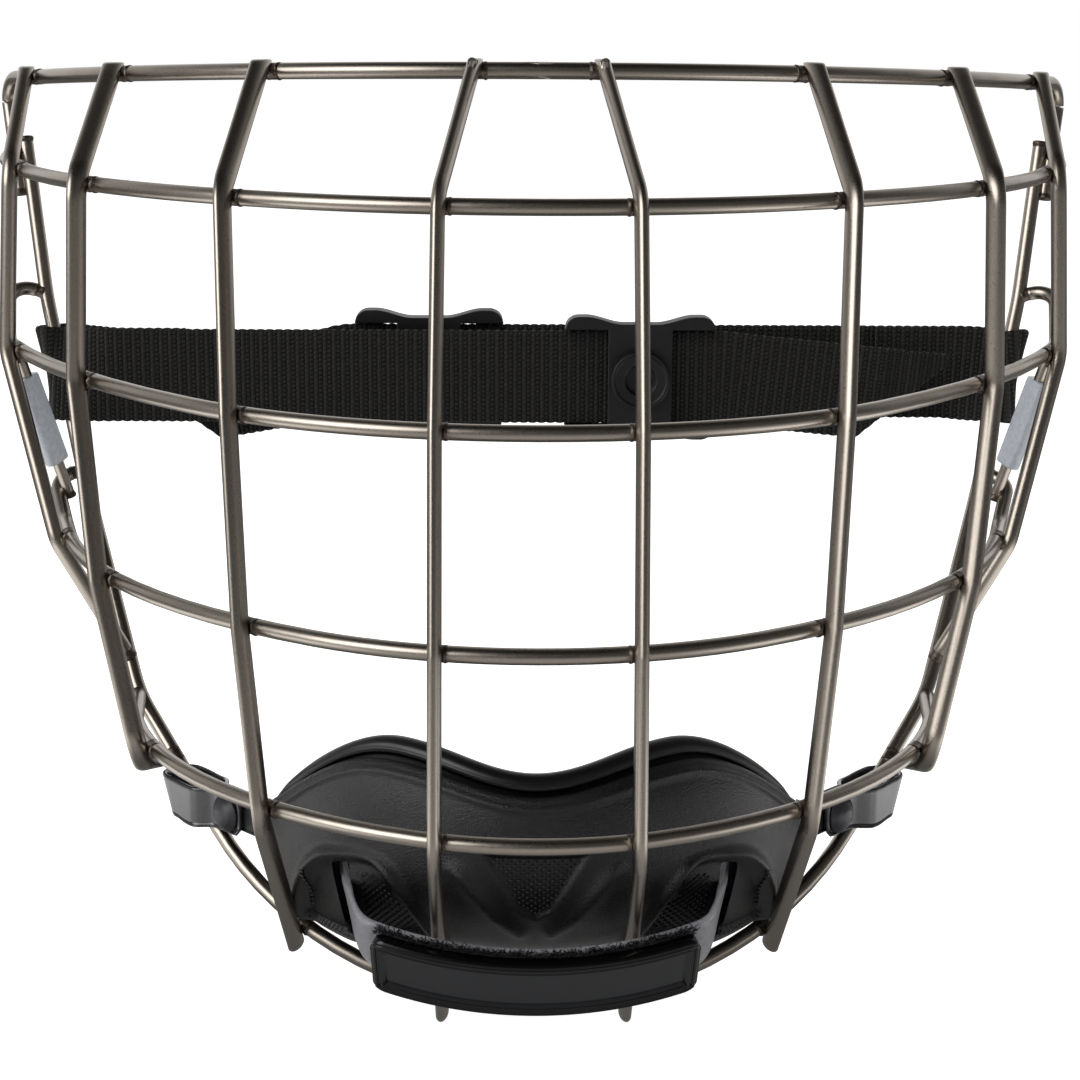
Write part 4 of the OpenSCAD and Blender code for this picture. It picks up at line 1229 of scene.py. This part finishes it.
def raised_blocks(a, z, slant, reach):
    """Tapered blocks on the shell's face at each plan angle and height, 0.92 mm times reach long,
    0.52 mm wide and 0.4 mm high, and their faces. They lie round the cup where slant is 0, and
    on the diagonal where it is 1."""
    # The section angle of each height, by substitution
    theta = np.full(len(a), -0.3)
    for _ in range(12):
        r, height = section(a, theta)
        rho = np.hypot(r - CUP_CORE, height - CUP_MID)
        theta = -np.arcsin(np.clip((CUP_MID - z) / rho, 0, 0.999))
    at, beside, under = (cup_point(a + da, *section(a + da, theta - dt))
                         for da, dt in ((0, 0), (0.35, 0), (0, 0.012)))
    along, below = unit(beside - at), unit(under - at)
    out = face_out(at, along, below)
    at = at + out * (relief(a, z) - 0.12)[:, None]
    long, short = unit(along - slant * below * 0.75), unit(slant * along + below * 0.75)
    ring = ((-1, -1), (1, -1), (1, 1), (-1, 1))
    block = np.stack([at + long * x * half_l * reach + short * y * half_w + out * height
                      for half_l, half_w, height in ((0.46, 0.26, 0), (0.3, 0.1, 0.4))
                      for x, y in ring], 1)
    sides = [(3, 2, 1, 0), (4, 5, 6, 7), (0, 1, 5, 4), (1, 2, 6, 5), (2, 3, 7, 6), (3, 0, 4, 7)]
    if np.linalg.det(np.stack([long, short, out], 1)).mean() < 0:
        sides = [side[::-1] for side in sides]
    return block.reshape(-1, 3), repeated(sides, 8, len(a))


class MASK_OT_cup_mesh(bpy.types.Operator):
    """Make the fine raised mesh in the shell's hollows and the ribs beside its slots"""
    bl_idname = "mask.cup_mesh"
    bl_label = "Cup mesh"

    def execute(self, context):
        sizes = context.scene.mask_cup
        # The same polyethylene, where the mould is polished between the dashes
        plastic = moulded("moulded_polyethylene_mesh", shaded(sizes.shell, 1.3), roughness=0.34,
                          grit=0.6, depth=0.03, grain_top_highlight=1.2)
        # The places of the dashes, in diagonal rows about 1 mm apart
        row, col = np.mgrid[-24:25, -40:41]
        across, down = ((row + col) * 0.78).ravel(), ((row - col) * 0.62).ravel()
        fields = [(0, on_face(CENTRE), -143)]
        fields += [(s * 31.5, on_face(ARCH_MESH, s), -150) for s in (1, -1)]
        dashes = []
        for middle, edge, level in fields:
            a, z = middle + across / PER_DEGREE, level + down
            u = a * PER_DEGREE
            ok = inside(u, z, edge) & (path_distance(u, z, edge + edge[:1]) > 1.0)
            dashes.append((a[ok], z[ok], 1, 1))
        # A column of nine ribs beside each slot, on its outer side
        steps = np.linspace(-1, 1, 9)
        dashes += [(s * (52.3 + 1.2 * steps), -151 - 4.2 * steps, 0, 1.7) for s in (1, -1)]
        blocks, faces = [], []
        for dash in dashes:
            block, sides = raised_blocks(*dash)
            start = sum(map(len, blocks))
            faces += [[start + k for k in side] for side in sides]
            blocks.append(block)
        mesh = plain_mesh("cup_shell_mesh", np.concatenate(blocks), faces)
        piece("cup_shell_mesh", mesh, plastic, "chin_cup", ())
        return {"FINISHED"}


# Plan angles at which the liner and its piping end, and the radius of the liner's outer side
LINER_END = 74
PIPING_END = 71
LINER_R = CUP_B - 2.35


def end_ease(a):
    """0 at the liner's ends and 1 from 10 mm inside them, along a quarter ellipse over X."""
    dx = (CUP_R - 4) * (math.sin(math.radians(LINER_END)) - np.sin(np.radians(np.abs(a))))
    return np.sqrt(np.clip(1 - (1 - np.clip(dx / 10, 0, 1)) ** 2, 0, 1))


def lining_radius(z):
    """Plan radius of the liner's outer side at each height, on a circle."""
    return CUP_CORE + np.sqrt(np.maximum(LINER_R ** 2 - (CUP_MID - z) ** 2, 1))


def liner_sections(a, pad):
    """The liner's closed section at each plan angle: up the shell's inside, over its edge, and
    down the padded side, which swells in the middle as a half sine. Three rounds of corner
    cutting, each of which puts two points on every side, at a quarter and at three quarters,
    round it. The liner's ends round off as a quarter circle."""
    edge = section(a, top_angle(a))[1]
    left = LINER_END - np.abs(a)
    ease = end_ease(a)
    over = 0.3 + 2.9 * ease
    thick = pad * (0.4 + 0.6 * smooth(left, 0, 8))
    low = CUP_MID - 8.5
    points = [(lining_radius(z), z) for z in (low + (edge - low) * k / 4 for k in range(5))]
    points += [(lining_radius(edge) + shift * ease, edge + over * part)
               for shift, part in ((0.9, 0.12), (0.9, 0.66), (-0.4, 1.0), (-2.6, 0.94))]
    for k in range(7):
        z = edge + over / 2 + (low - edge - over / 2) * k / 6
        swell = 0.45 + 0.55 * math.sin(math.pi * (k + 0.6) / 7.2)
        points.append((lining_radius(z) - thick * swell, z))
    points = np.stack([np.stack(p, -1) for p in points], 1)
    for _ in range(3):
        after = np.roll(points, -1, 1)
        points = np.stack([points * 0.75 + after * 0.25, points * 0.25 + after * 0.75], 2)
        points = points.reshape(len(a), -1, 2)
    near = np.clip(left / 4 + 0.02, 0, 1)[:, None, None]
    middle = points.mean(1, keepdims=True)
    return middle + (points - middle) * (0.25 + 0.75 * np.sqrt(1 - (1 - near) ** 2))


class MASK_OT_liner(bpy.types.Operator):
    """Make the chin cup's padded liner with its piping line"""
    bl_idname = "mask.liner"
    bl_label = "Cup liner"

    def execute(self, context):
        sizes = context.scene.mask_cup
        # The smooth skin of moulded foam: a soft, even sheen
        foam = moulded("liner_foam_skin", sizes.foam, roughness=0.36, grit=0.9, depth=0.04,
                       grain_top_highlight=1.2)
        a = np.linspace(-LINER_END, LINER_END, 220)
        rings = cup_point(a[:, None], *np.moveaxis(liner_sections(a, sizes.pad / MM), -1, 0))
        shape = surface("cup_liner_foam", [rings], foam, "chin_cup", ("cup_liner",))
        # A thin piping runs along the liner's outer edge, just above the shell
        a = np.linspace(-PIPING_END, PIPING_END, 160)
        edge, ease = section(a, top_angle(a))[1], end_ease(a)
        line = cup_point(a, lining_radius(edge) + 0.5 * ease, edge + 0.3 + 0.9 * ease)
        # Vinyl piping: a little paler than the foam, so that it reads as a line
        vinyl = moulded("liner_piping_vinyl", shaded(sizes.foam, 1.3), roughness=0.35, grit=0.5,
                        depth=0.01, grain_top_highlight=1.1)
        surface("liner_piping", [tube(line, UP, 0.9, 0.9, 12)], vinyl, "chin_cup", ())
        return {"FINISHED"}


class MASK_OT_tabs(bpy.types.Operator):
    """Make the vinyl side tabs round the rim and their rivets"""
    bl_idname = "mask.tabs"
    bl_label = "Side tabs"

    def execute(self, context):
        sizes = context.scene.mask_cup
        # Coated vinyl strip: dark with a clear gloss
        vinyl = moulded("glossy_vinyl", sizes.vinyl, roughness=0.18, grit=2.5, depth=0.12,
                        grain_top_highlight=1.15, coat=0.6)
        # Nylon rivet: duller than the strip round it
        nylon = moulded("rivet_nylon", shaded(sizes.vinyl, 0.8), roughness=0.35, grit=0.5,
                        depth=0.02, grain_top_highlight=1.2)
        route = [(-4, 1.55, 0), (4.8, 1.55, 0), (8.2, 4.05, 0), (21.05, 4.05, 0)]
        route += [(x, -y, 0) for x, y, _ in reversed(route)]
        step = 0.8
        flat = evened(bent(route, [0, 3, 3, 4.0, 4.0, 3, 3, 0], 8), step)
        line = RIVET_AT + flat[:, :1] * TAB_WAY + flat[:, 1:2] * TAB_OUT
        out = np.cross(ways(line), UP)
        order = np.arange(len(line))
        far = np.minimum(order, order[::-1]) * step
        # The loop's round end is a little lower, and the strip sags between it and the rivet
        bulge = smooth(flat[:, 0], 9, 21)
        high = TAB_H - 3.6 * bell(far, 0, 0.9) - 0.4 * bulge
        sag = 0.5 * bell(flat[:, :1], 10, 4)
        strip = band(line - UP * sag, UP, out, high, TAB_T, 10)
        # The loop leans with the rim wire that runs through it
        lean = bulge[:, None] * (0.45 * (strip[..., 2] - RIVET_AT[2]) - 1.8)
        strip = strip + lean[..., None] * TAB_WAY
        profile = rounded_profile(
            [(0.04, 4.1), (1.4, 4.0), (2.5, 3.5), (3.7, 2.55), (3.7, 2.2), (1.48, 2.2),
             (1.48, -2.2), (3.2, -2.2), (3.2, -3.05), (0.04, -3.05)],
            [0, 2.5, 1.2, 0.2, 0.1, 0.1, 0.1, 0.1, 0.35, 0])
        head = lathe(profile, RIVET_AT, TAB_OUT, 48)
        for name, flip in SIDES:
            surface(f"side_tab_{name}_vinyl", [strip * flip], vinyl, "cage",
                    (f"side_tab_{name}",))
            surface(f"tab_rivet_{name}_head", [head * flip], nylon, "cage",
                    (f"tab_rivet_{name}",))
        return {"FINISHED"}


# The chin strap and its badge

# The origin of the strap's leaning frame, near its front, and how far behind it the arc's axis
# lies
BAND_Y, BAND_Z, BAND_REACH = -24.678, -155.244, 71.32
BAND_LEAN = math.radians(36.854)
# The arc of the strap's back: its radius and half its angle in degrees
BAND_R = 75
BAND_HALF = 22.6
# The strap's width in front and in its slots, and its thickness
STRAP_WIDE, STRAP_SLIM, STRAP_THICK = 15, 10.8, 1.6
TAPE_WIDE, TAPE_THICK = 16, 0.78
# How far outside the strap's back the middle of the tape and the back of the badge lie
TAPE_OUT, BADGE_OUT = 2.3, 2.7
BADGE_L, BADGE_H, BADGE_CORNER, BADGE_R = 59, 17, 2.6, 78


def band_point(a, r, h):
    """A point of the chin strap's frame: angle a round its axis, radius r and height h up it."""
    a = np.radians(a)
    y = BAND_REACH - r * np.cos(a)
    return np.stack([r * np.sin(a) + 0 * h,
                     BAND_Y + y * math.cos(BAND_LEAN) - h * math.sin(BAND_LEAN),
                     BAND_Z + y * math.sin(BAND_LEAN) + h * math.cos(BAND_LEAN)], -1)


def band_arc(half, r, count):
    """Points of an arc of the chin strap's frame, with their width and outward ways."""
    a = np.linspace(-half, half, count)
    arc = band_point(a, r, 0 * a)
    return arc, unit(band_point(a, r, 0 * a + 1) - arc), unit(band_point(a, r + 5, 0 * a) - arc)


def strap_route():
    """The chin strap's middle line with its width and outward directions and its width: an arc
    in front, and at each end a leg that eases from the arc's direction into the slot's, along a
    cubic curve, and ends in a straight stretch through the slot."""
    arc, arc_wide, arc_out = band_arc(BAND_HALF, BAND_R + STRAP_THICK / 2, 60)
    way, thick, wide = slot_axes()
    end, end_way = arc[-1], unit(arc[-1] - arc[-2])
    # The straight stretch starts 5.2 mm before the slot's middle and ends 3.5 mm past it
    start, stop = (SLOT_AT - wide * 1.2 + way * reach for reach in (-5.2, 3.5))
    pull = np.linalg.norm(start - end) * 0.8
    t = np.linspace(0, 1, 26)[1:, None]
    blend = smooth(t, 0, 1)
    leg = ((1 - blend) * end + (t ** 3 - 2 * t ** 2 + t) * end_way * pull
           + blend * start + (t ** 3 - t ** 2) * way * pull)
    leg = np.vstack([leg, start + (stop - start) * np.linspace(0.1, 1, 8)[:, None]])
    straight = np.ones((8, 1))
    out = arc_out[-1] if arc_out[-1] @ thick < 0 else -arc_out[-1]
    twist = np.vstack([smooth(t, 0.68, 1), straight])
    leg_out = unit(out * (1 - twist) - thick * twist)
    leg_wide = unit(arc_wide[-1] * (1 - twist) + wide * twist)
    leg_size = STRAP_WIDE - (STRAP_WIDE - STRAP_SLIM) * np.vstack([blend, straight]).ravel()
    size = np.r_[leg_size[::-1], np.full(len(arc), STRAP_WIDE), leg_size]
    whole = [np.vstack([mirrored(one)[::-1], middle, one])
             for one, middle in ((leg, arc), (leg_wide, arc_wide), (leg_out, arc_out))]
    return *whole, size


def badge_height(d):
    """Height of the badge's face by the distance in from its outline: a rounded edge, two raised
    lines round its border as a cosine wave, and a field 0.7 mm lower."""
    fade = smooth(d, 0.1, 0.5) * (1 - smooth(d, 2.0, 2.5))
    lines = 0.28 * np.cos((d - 0.75) / 1.1 * 2 * math.pi) * fade
    return 2.2 + 0.2 * smooth(d, 0, 0.5) - 0.7 * smooth(d, 2.1, 2.8) + lines


class MASK_OT_chin_strap(bpy.types.Operator):
    """Make the hook-and-loop chin strap with its tape and the bare badge"""
    bl_idname = "mask.chin_strap"
    bl_label = "Chin strap and badge"

    def execute(self, context):
        sizes = context.scene.mask_cup
        # Coated webbing: a black band painted grey as the reflection of the bright room in its
        # coating, with a soft shine
        coated = moulded("strap_coated_webbing", linear("#8b8b90"), roughness=0.4, grit=0.8,
                         depth=0.04, grain_top_highlight=1.2, coat=0.1)
        line, across, normal, size = strap_route()
        strap = band(line, across, normal, size, STRAP_THICK, 14)
        surface("chin_strap_band", [strap], coated, "cage", ("chin_strap",))
        # Nylon hooks: a rough, dull edge under the badge
        hook = moulded("hook_tape_nylon", sizes.pile, roughness=0.7, grit=0.45, depth=0.2,
                       grain_top_highlight=1.8)
        half = math.degrees(BADGE_L / 2 / BADGE_R) - 1
        tape = band(*band_arc(half, BAND_R + TAPE_OUT, 60), TAPE_WIDE, TAPE_THICK, 10)
        surface("hook_tape_loops", [tape], hook, "badge_flap", ("hook_tape",))
        # The badge: each ring runs over the face from its low to its high edge, and back behind
        long = BADGE_L / 2
        edge = np.linspace(long - 3.4, long, 26)
        s = np.unique(np.r_[-edge, np.linspace(-edge[0], edge[0], 90), edge])[:, None]
        past = np.clip(np.abs(s) - (long - BADGE_CORNER), 0, BADGE_CORNER * 0.995)
        tall = BADGE_H / 2 - BADGE_CORNER + np.sqrt(BADGE_CORNER ** 2 - past ** 2)
        sweep = np.sin(np.linspace(-1, 1, 60) * math.pi / 2 * 0.98)
        h = tall * (sweep / sweep[-1])[None]
        d = np.minimum(tall - np.abs(h), long - np.abs(s))
        angle = np.degrees(s / BADGE_R)
        back_h = tall * np.linspace(0.98, -0.98, 12)[None]
        back_r = BAND_R + BADGE_OUT
        rings = np.concatenate([band_point(angle + 0 * h, back_r + badge_height(d), h),
                                band_point(angle + 0 * back_h, back_r + 0.02, back_h)], 1)
        shape = surface("badge_plate_rubber", [rings], badge_gloss(sizes), "badge_flap",
                        ("badge_plate",))
        mark(shape.data, "field", np.concatenate([smooth(d, 2.2, 2.7), 0 * back_h], 1).ravel())
        return {"FINISHED"}


class MASK_OT_pile(bpy.types.Operator):
    """Make the loose fibres of the loop pile round the badge"""
    bl_idname = "mask.pile"
    bl_label = "Loop pile"

    def execute(self, context):
        sizes = context.scene.mask_cup
        # Nylon loops: pale enough to be seen as single threads on the dark strap
        fibre = moulded("loop_pile_nylon", shaded(sizes.pile, 1.6), roughness=0.6, grit=0.4,
                        depth=0.01, grain_top_highlight=1.5)
        rng = np.random.default_rng(11)
        count = 2600
        # Seven in ten root at the tape's upper edge, the others at its lower edge
        a = rng.uniform(-22, 22, count)
        h = np.where(rng.random(count) < 0.7, rng.normal(7.4, 0.5, count),
                     rng.normal(-7.5, 0.4, count))
        r = BAND_R + rng.uniform(1.0, 2.6, count)
        root = band_point(a, r, h)
        up = np.sign(h)[:, None] * unit(band_point(a, r, h + 1) - root)
        out = unit(band_point(a, r + 1, h) - root)
        side = np.cross(up, out)
        lean = rng.normal(0, 0.5, (count, 2))
        first = unit(up + side * lean[:, :1] + out * (0.2 + lean[:, 1:] * 0.5))
        bend = unit(first + side * rng.normal(0, 0.8, (count, 1))
                    + out * rng.normal(0.2, 0.5, (count, 1)))
        reach = rng.uniform(0.4, 1.3, count)[:, None]
        knee = root + first * reach * 0.6
        centres = np.stack([root - first * 0.3, knee, knee + bend * reach * 0.5], 1)
        # Each fibre is three rings of three points, which get thinner
        thick = np.array([0.09, 0.075, 0.035])
        t = full_turn(3)
        u = unit(np.cross(first, bend + [0.01, 0.02, 0.03]))
        v = np.cross(first, u)
        ring = u[:, None] * np.cos(t)[None, :, None] + v[:, None] * np.sin(t)[None, :, None]
        points = centres[:, :, None] + ring[:, None] * thick[None, :, None, None]
        quads = [(0, 1, 4, 3), (1, 2, 5, 4), (2, 0, 3, 5), (3, 4, 7, 6), (4, 5, 8, 7), (5, 3, 6, 8)]
        faces = repeated(quads, 9, count) + repeated([(2, 1, 0), (6, 7, 8)], 9, count)
        mesh = plain_mesh("loop_pile_fibres", points, faces)
        piece("loop_pile_fibres", mesh, fibre, "cage", ())
        return {"FINISHED"}


# The stage

# The camera's place in millimetres, its yaw, pitch and roll in degrees, and its lens
CAMERA_AT = (-4.09, -411.0, 11.6)
CAMERA_TURN = (0.67, 13.2, 0.33)
SENSOR = 36
CAMERA_FOCUS = 2290 / 1080 * SENSOR


def aimed(name, data, side, top, back, at):
    """A lamp or camera with its three axes and its place in metres."""
    shape = linked(name, data)
    axes = np.eye(4)
    axes[:3] = np.stack([side, top, back, at], 1)
    shape.matrix_world = Matrix(axes.tolist())
    return shape


def studio_paper(shade):
    """White paper. The camera sees it as white light with a faint shadow. Metal sees it as dark
    paper with a pale strip close in front of the mask and a bright patch at each side."""
    paper, tree, shader, here = start_material("studio_paper", {
        "Roughness": 0.9, "Emission Color": (1, 1, 1, 1)})
    rays = add(tree, "LightPath").outputs
    depth = add(tree, "SeparateXYZ", {0: here}).outputs[1]
    rise = spread(tree, depth, -0.6, -0.2, 0.12, 0.5)
    fall = spread(tree, depth, -0.1, 0.01, 1.0, 0.12)
    strip = sums(tree, "MULTIPLY_ADD", rise, fall, 0.12)
    either = add(tree, "VectorMath", {0: here}, operation="ABSOLUTE").outputs["Vector"]
    off = add(tree, "VectorMath", {0: either, 1: (0.21, 0.05, 0.18)}, operation="DISTANCE")
    patch = spread(tree, off.outputs["Value"], 0.03, 0.13, 1.8, 0.0)
    gloss = sums(tree, "MULTIPLY", rays["Is Glossy Ray"], sums(tree, "ADD", strip, patch))
    feed(tree, shader, {
        "Base Color": mixed(tree, rays["Is Glossy Ray"], shade, linear("#101010")),
        "Emission Strength": sums(tree, "MULTIPLY_ADD", rays["Is Camera Ray"], 0.85, gloss)})
    return paper


def studio_room():
    """The room's light. Metal and gloss see a white wall behind under a dark ceiling, a dark room
    in front, and a softbox on the left. All else gets an even light."""
    world = bpy.data.worlds.new("studio")
    world.use_nodes = True
    tree = world.node_tree
    rays = add(tree, "LightPath").outputs
    seen = sums(tree, "MAXIMUM", rays["Is Camera Ray"], rays["Is Transmission Ray"])
    place = add(tree, "TexCoord").outputs["Generated"]
    x, y, z = add(tree, "SeparateXYZ", {0: place}).outputs
    wall = sums(tree, "MULTIPLY", spread(tree, y, 0.15, 0.75, 0.12, 1.0),
                spread(tree, z, 0.4, 0.85, 1.0, 0.2))
    room = sums(tree, "ADD", wall, spread(tree, x, -0.95, -0.3, 0.2, 0.0), clamp=True)
    near = add(tree, "VectorMath", {0: place, 1: (-0.73, -0.59, 0.35)}, operation="DOT_PRODUCT")
    softbox = spread(tree, near.outputs["Value"], 0.88, 0.98, 0.0, 4.4)
    gloss = mixed(tree, rays["Is Glossy Ray"], 0.32, sums(tree, "ADD", room, softbox), "FLOAT")
    feed(tree, tree.nodes["Background"], {
        "Color": (1, 1, 1, 1), "Strength": mixed(tree, seen, gloss, 1.0, "FLOAT")})
    return world


class MASK_OT_stage(bpy.types.Operator):
    """Make the pale floor, the soft lamps and the camera at the photo's angle"""
    bl_idname = "mask.stage"
    bl_label = "Studio"

    def execute(self, context):
        sizes, scene = context.scene.mask_stage, context.scene
        # The floor lies 0.2 mm under the part, so that no face lies in it
        low = CAD_BOX[0][2] - 0.2 * MM
        mesh = bpy.data.meshes.new("floor")
        mesh.from_pydata([(-4, -4, low), (4, -4, low), (4, 4, low), (-4, 4, low)], [],
                         [(0, 1, 2, 3)])
        mesh.materials.append(studio_paper(tuple(sizes.floor)))
        linked("floor", mesh)
        scene.world = studio_room()

        lamps = [("key", (-0.35, -0.35, 0.75), (0, 0, -0.08), 0.7, sizes.key),
                 ("fill_left", (-0.95, -0.1, 0.05), (0, 0, -0.09), 0.6, sizes.fill),
                 ("fill_right", (0.95, -0.1, 0.05), (0, 0, -0.09), 0.6, sizes.fill * 0.7)]
        for name, at, to, size, power in lamps:
            light = bpy.data.lights.new(name, "AREA")
            light.energy = power
            light.size = size
            back = unit(np.array(at) - np.array(to))
            side = unit(np.cross(UP, back))
            lamp = aimed(name, light, side, np.cross(back, side), back, at)
            # Metal and gloss see the room, not the lamps
            lamp.visible_glossy = False

        yaw, pitch, roll = (math.radians(v) for v in CAMERA_TURN)
        forward = np.array([math.sin(yaw) * math.cos(pitch), math.cos(yaw) * math.cos(pitch),
                            -math.sin(pitch)])
        right = np.array([math.cos(yaw), -math.sin(yaw), 0])
        up = np.cross(right, forward)
        lens = bpy.data.cameras.new("camera")
        lens.sensor_width = SENSOR
        lens.lens = CAMERA_FOCUS
        lens.clip_start = 0.01
        lens.clip_end = 50
        scene.camera = aimed("camera", lens, math.cos(roll) * right + math.sin(roll) * up,
                             -math.sin(roll) * right + math.cos(roll) * up, -forward,
                             np.array(CAMERA_AT) * MM)
        scene.view_settings.view_transform = "Standard"
        return {"FINISHED"}


OPERATORS = (MASK_OT_stage, MASK_OT_wires, MASK_OT_welds, MASK_OT_labels, MASK_OT_straps,
             MASK_OT_sliders, MASK_OT_shell, MASK_OT_cup_mesh, MASK_OT_liner, MASK_OT_tabs,
             MASK_OT_chin_strap, MASK_OT_pile)


class MASK_PT_face_mask(bpy.types.Panel):
    """Sizes, colours and pieces of the face mask"""
    bl_label = "Face Mask"
    bl_idname = "MASK_PT_face_mask"
    bl_space_type = "VIEW_3D"
    bl_region_type = "UI"
    bl_category = "Face Mask"

    def draw(self, context):
        for name in ("mask_cage", "mask_straps", "mask_cup", "mask_stage"):
            group = getattr(context.scene, name)
            box = self.layout.box()
            for field in group.__annotations__:
                box.prop(group, field)
        for operator in OPERATORS:
            self.layout.operator(operator.bl_idname)


GROUPS = {"mask_cage": CageSizes, "mask_straps": StrapSizes, "mask_cup": CupSizes,
          "mask_stage": StageSizes}


def register():
    for cls in (*GROUPS.values(), *OPERATORS, MASK_PT_face_mask):
        bpy.utils.register_class(cls)
    for name, group in GROUPS.items():
        setattr(bpy.types.Scene, name, bpy.props.PointerProperty(type=group))


def unregister():
    for name in GROUPS:
        delattr(bpy.types.Scene, name)
    for cls in (MASK_PT_face_mask, *reversed(OPERATORS), *GROUPS.values()):
        bpy.utils.unregister_class(cls)


def main():
    """Makes every piece and the stage."""
    register()
    for operator in OPERATORS:
        group, name = operator.bl_idname.split(".")
        getattr(getattr(bpy.ops, group), name)()


if __name__ == "__main__":
    main()
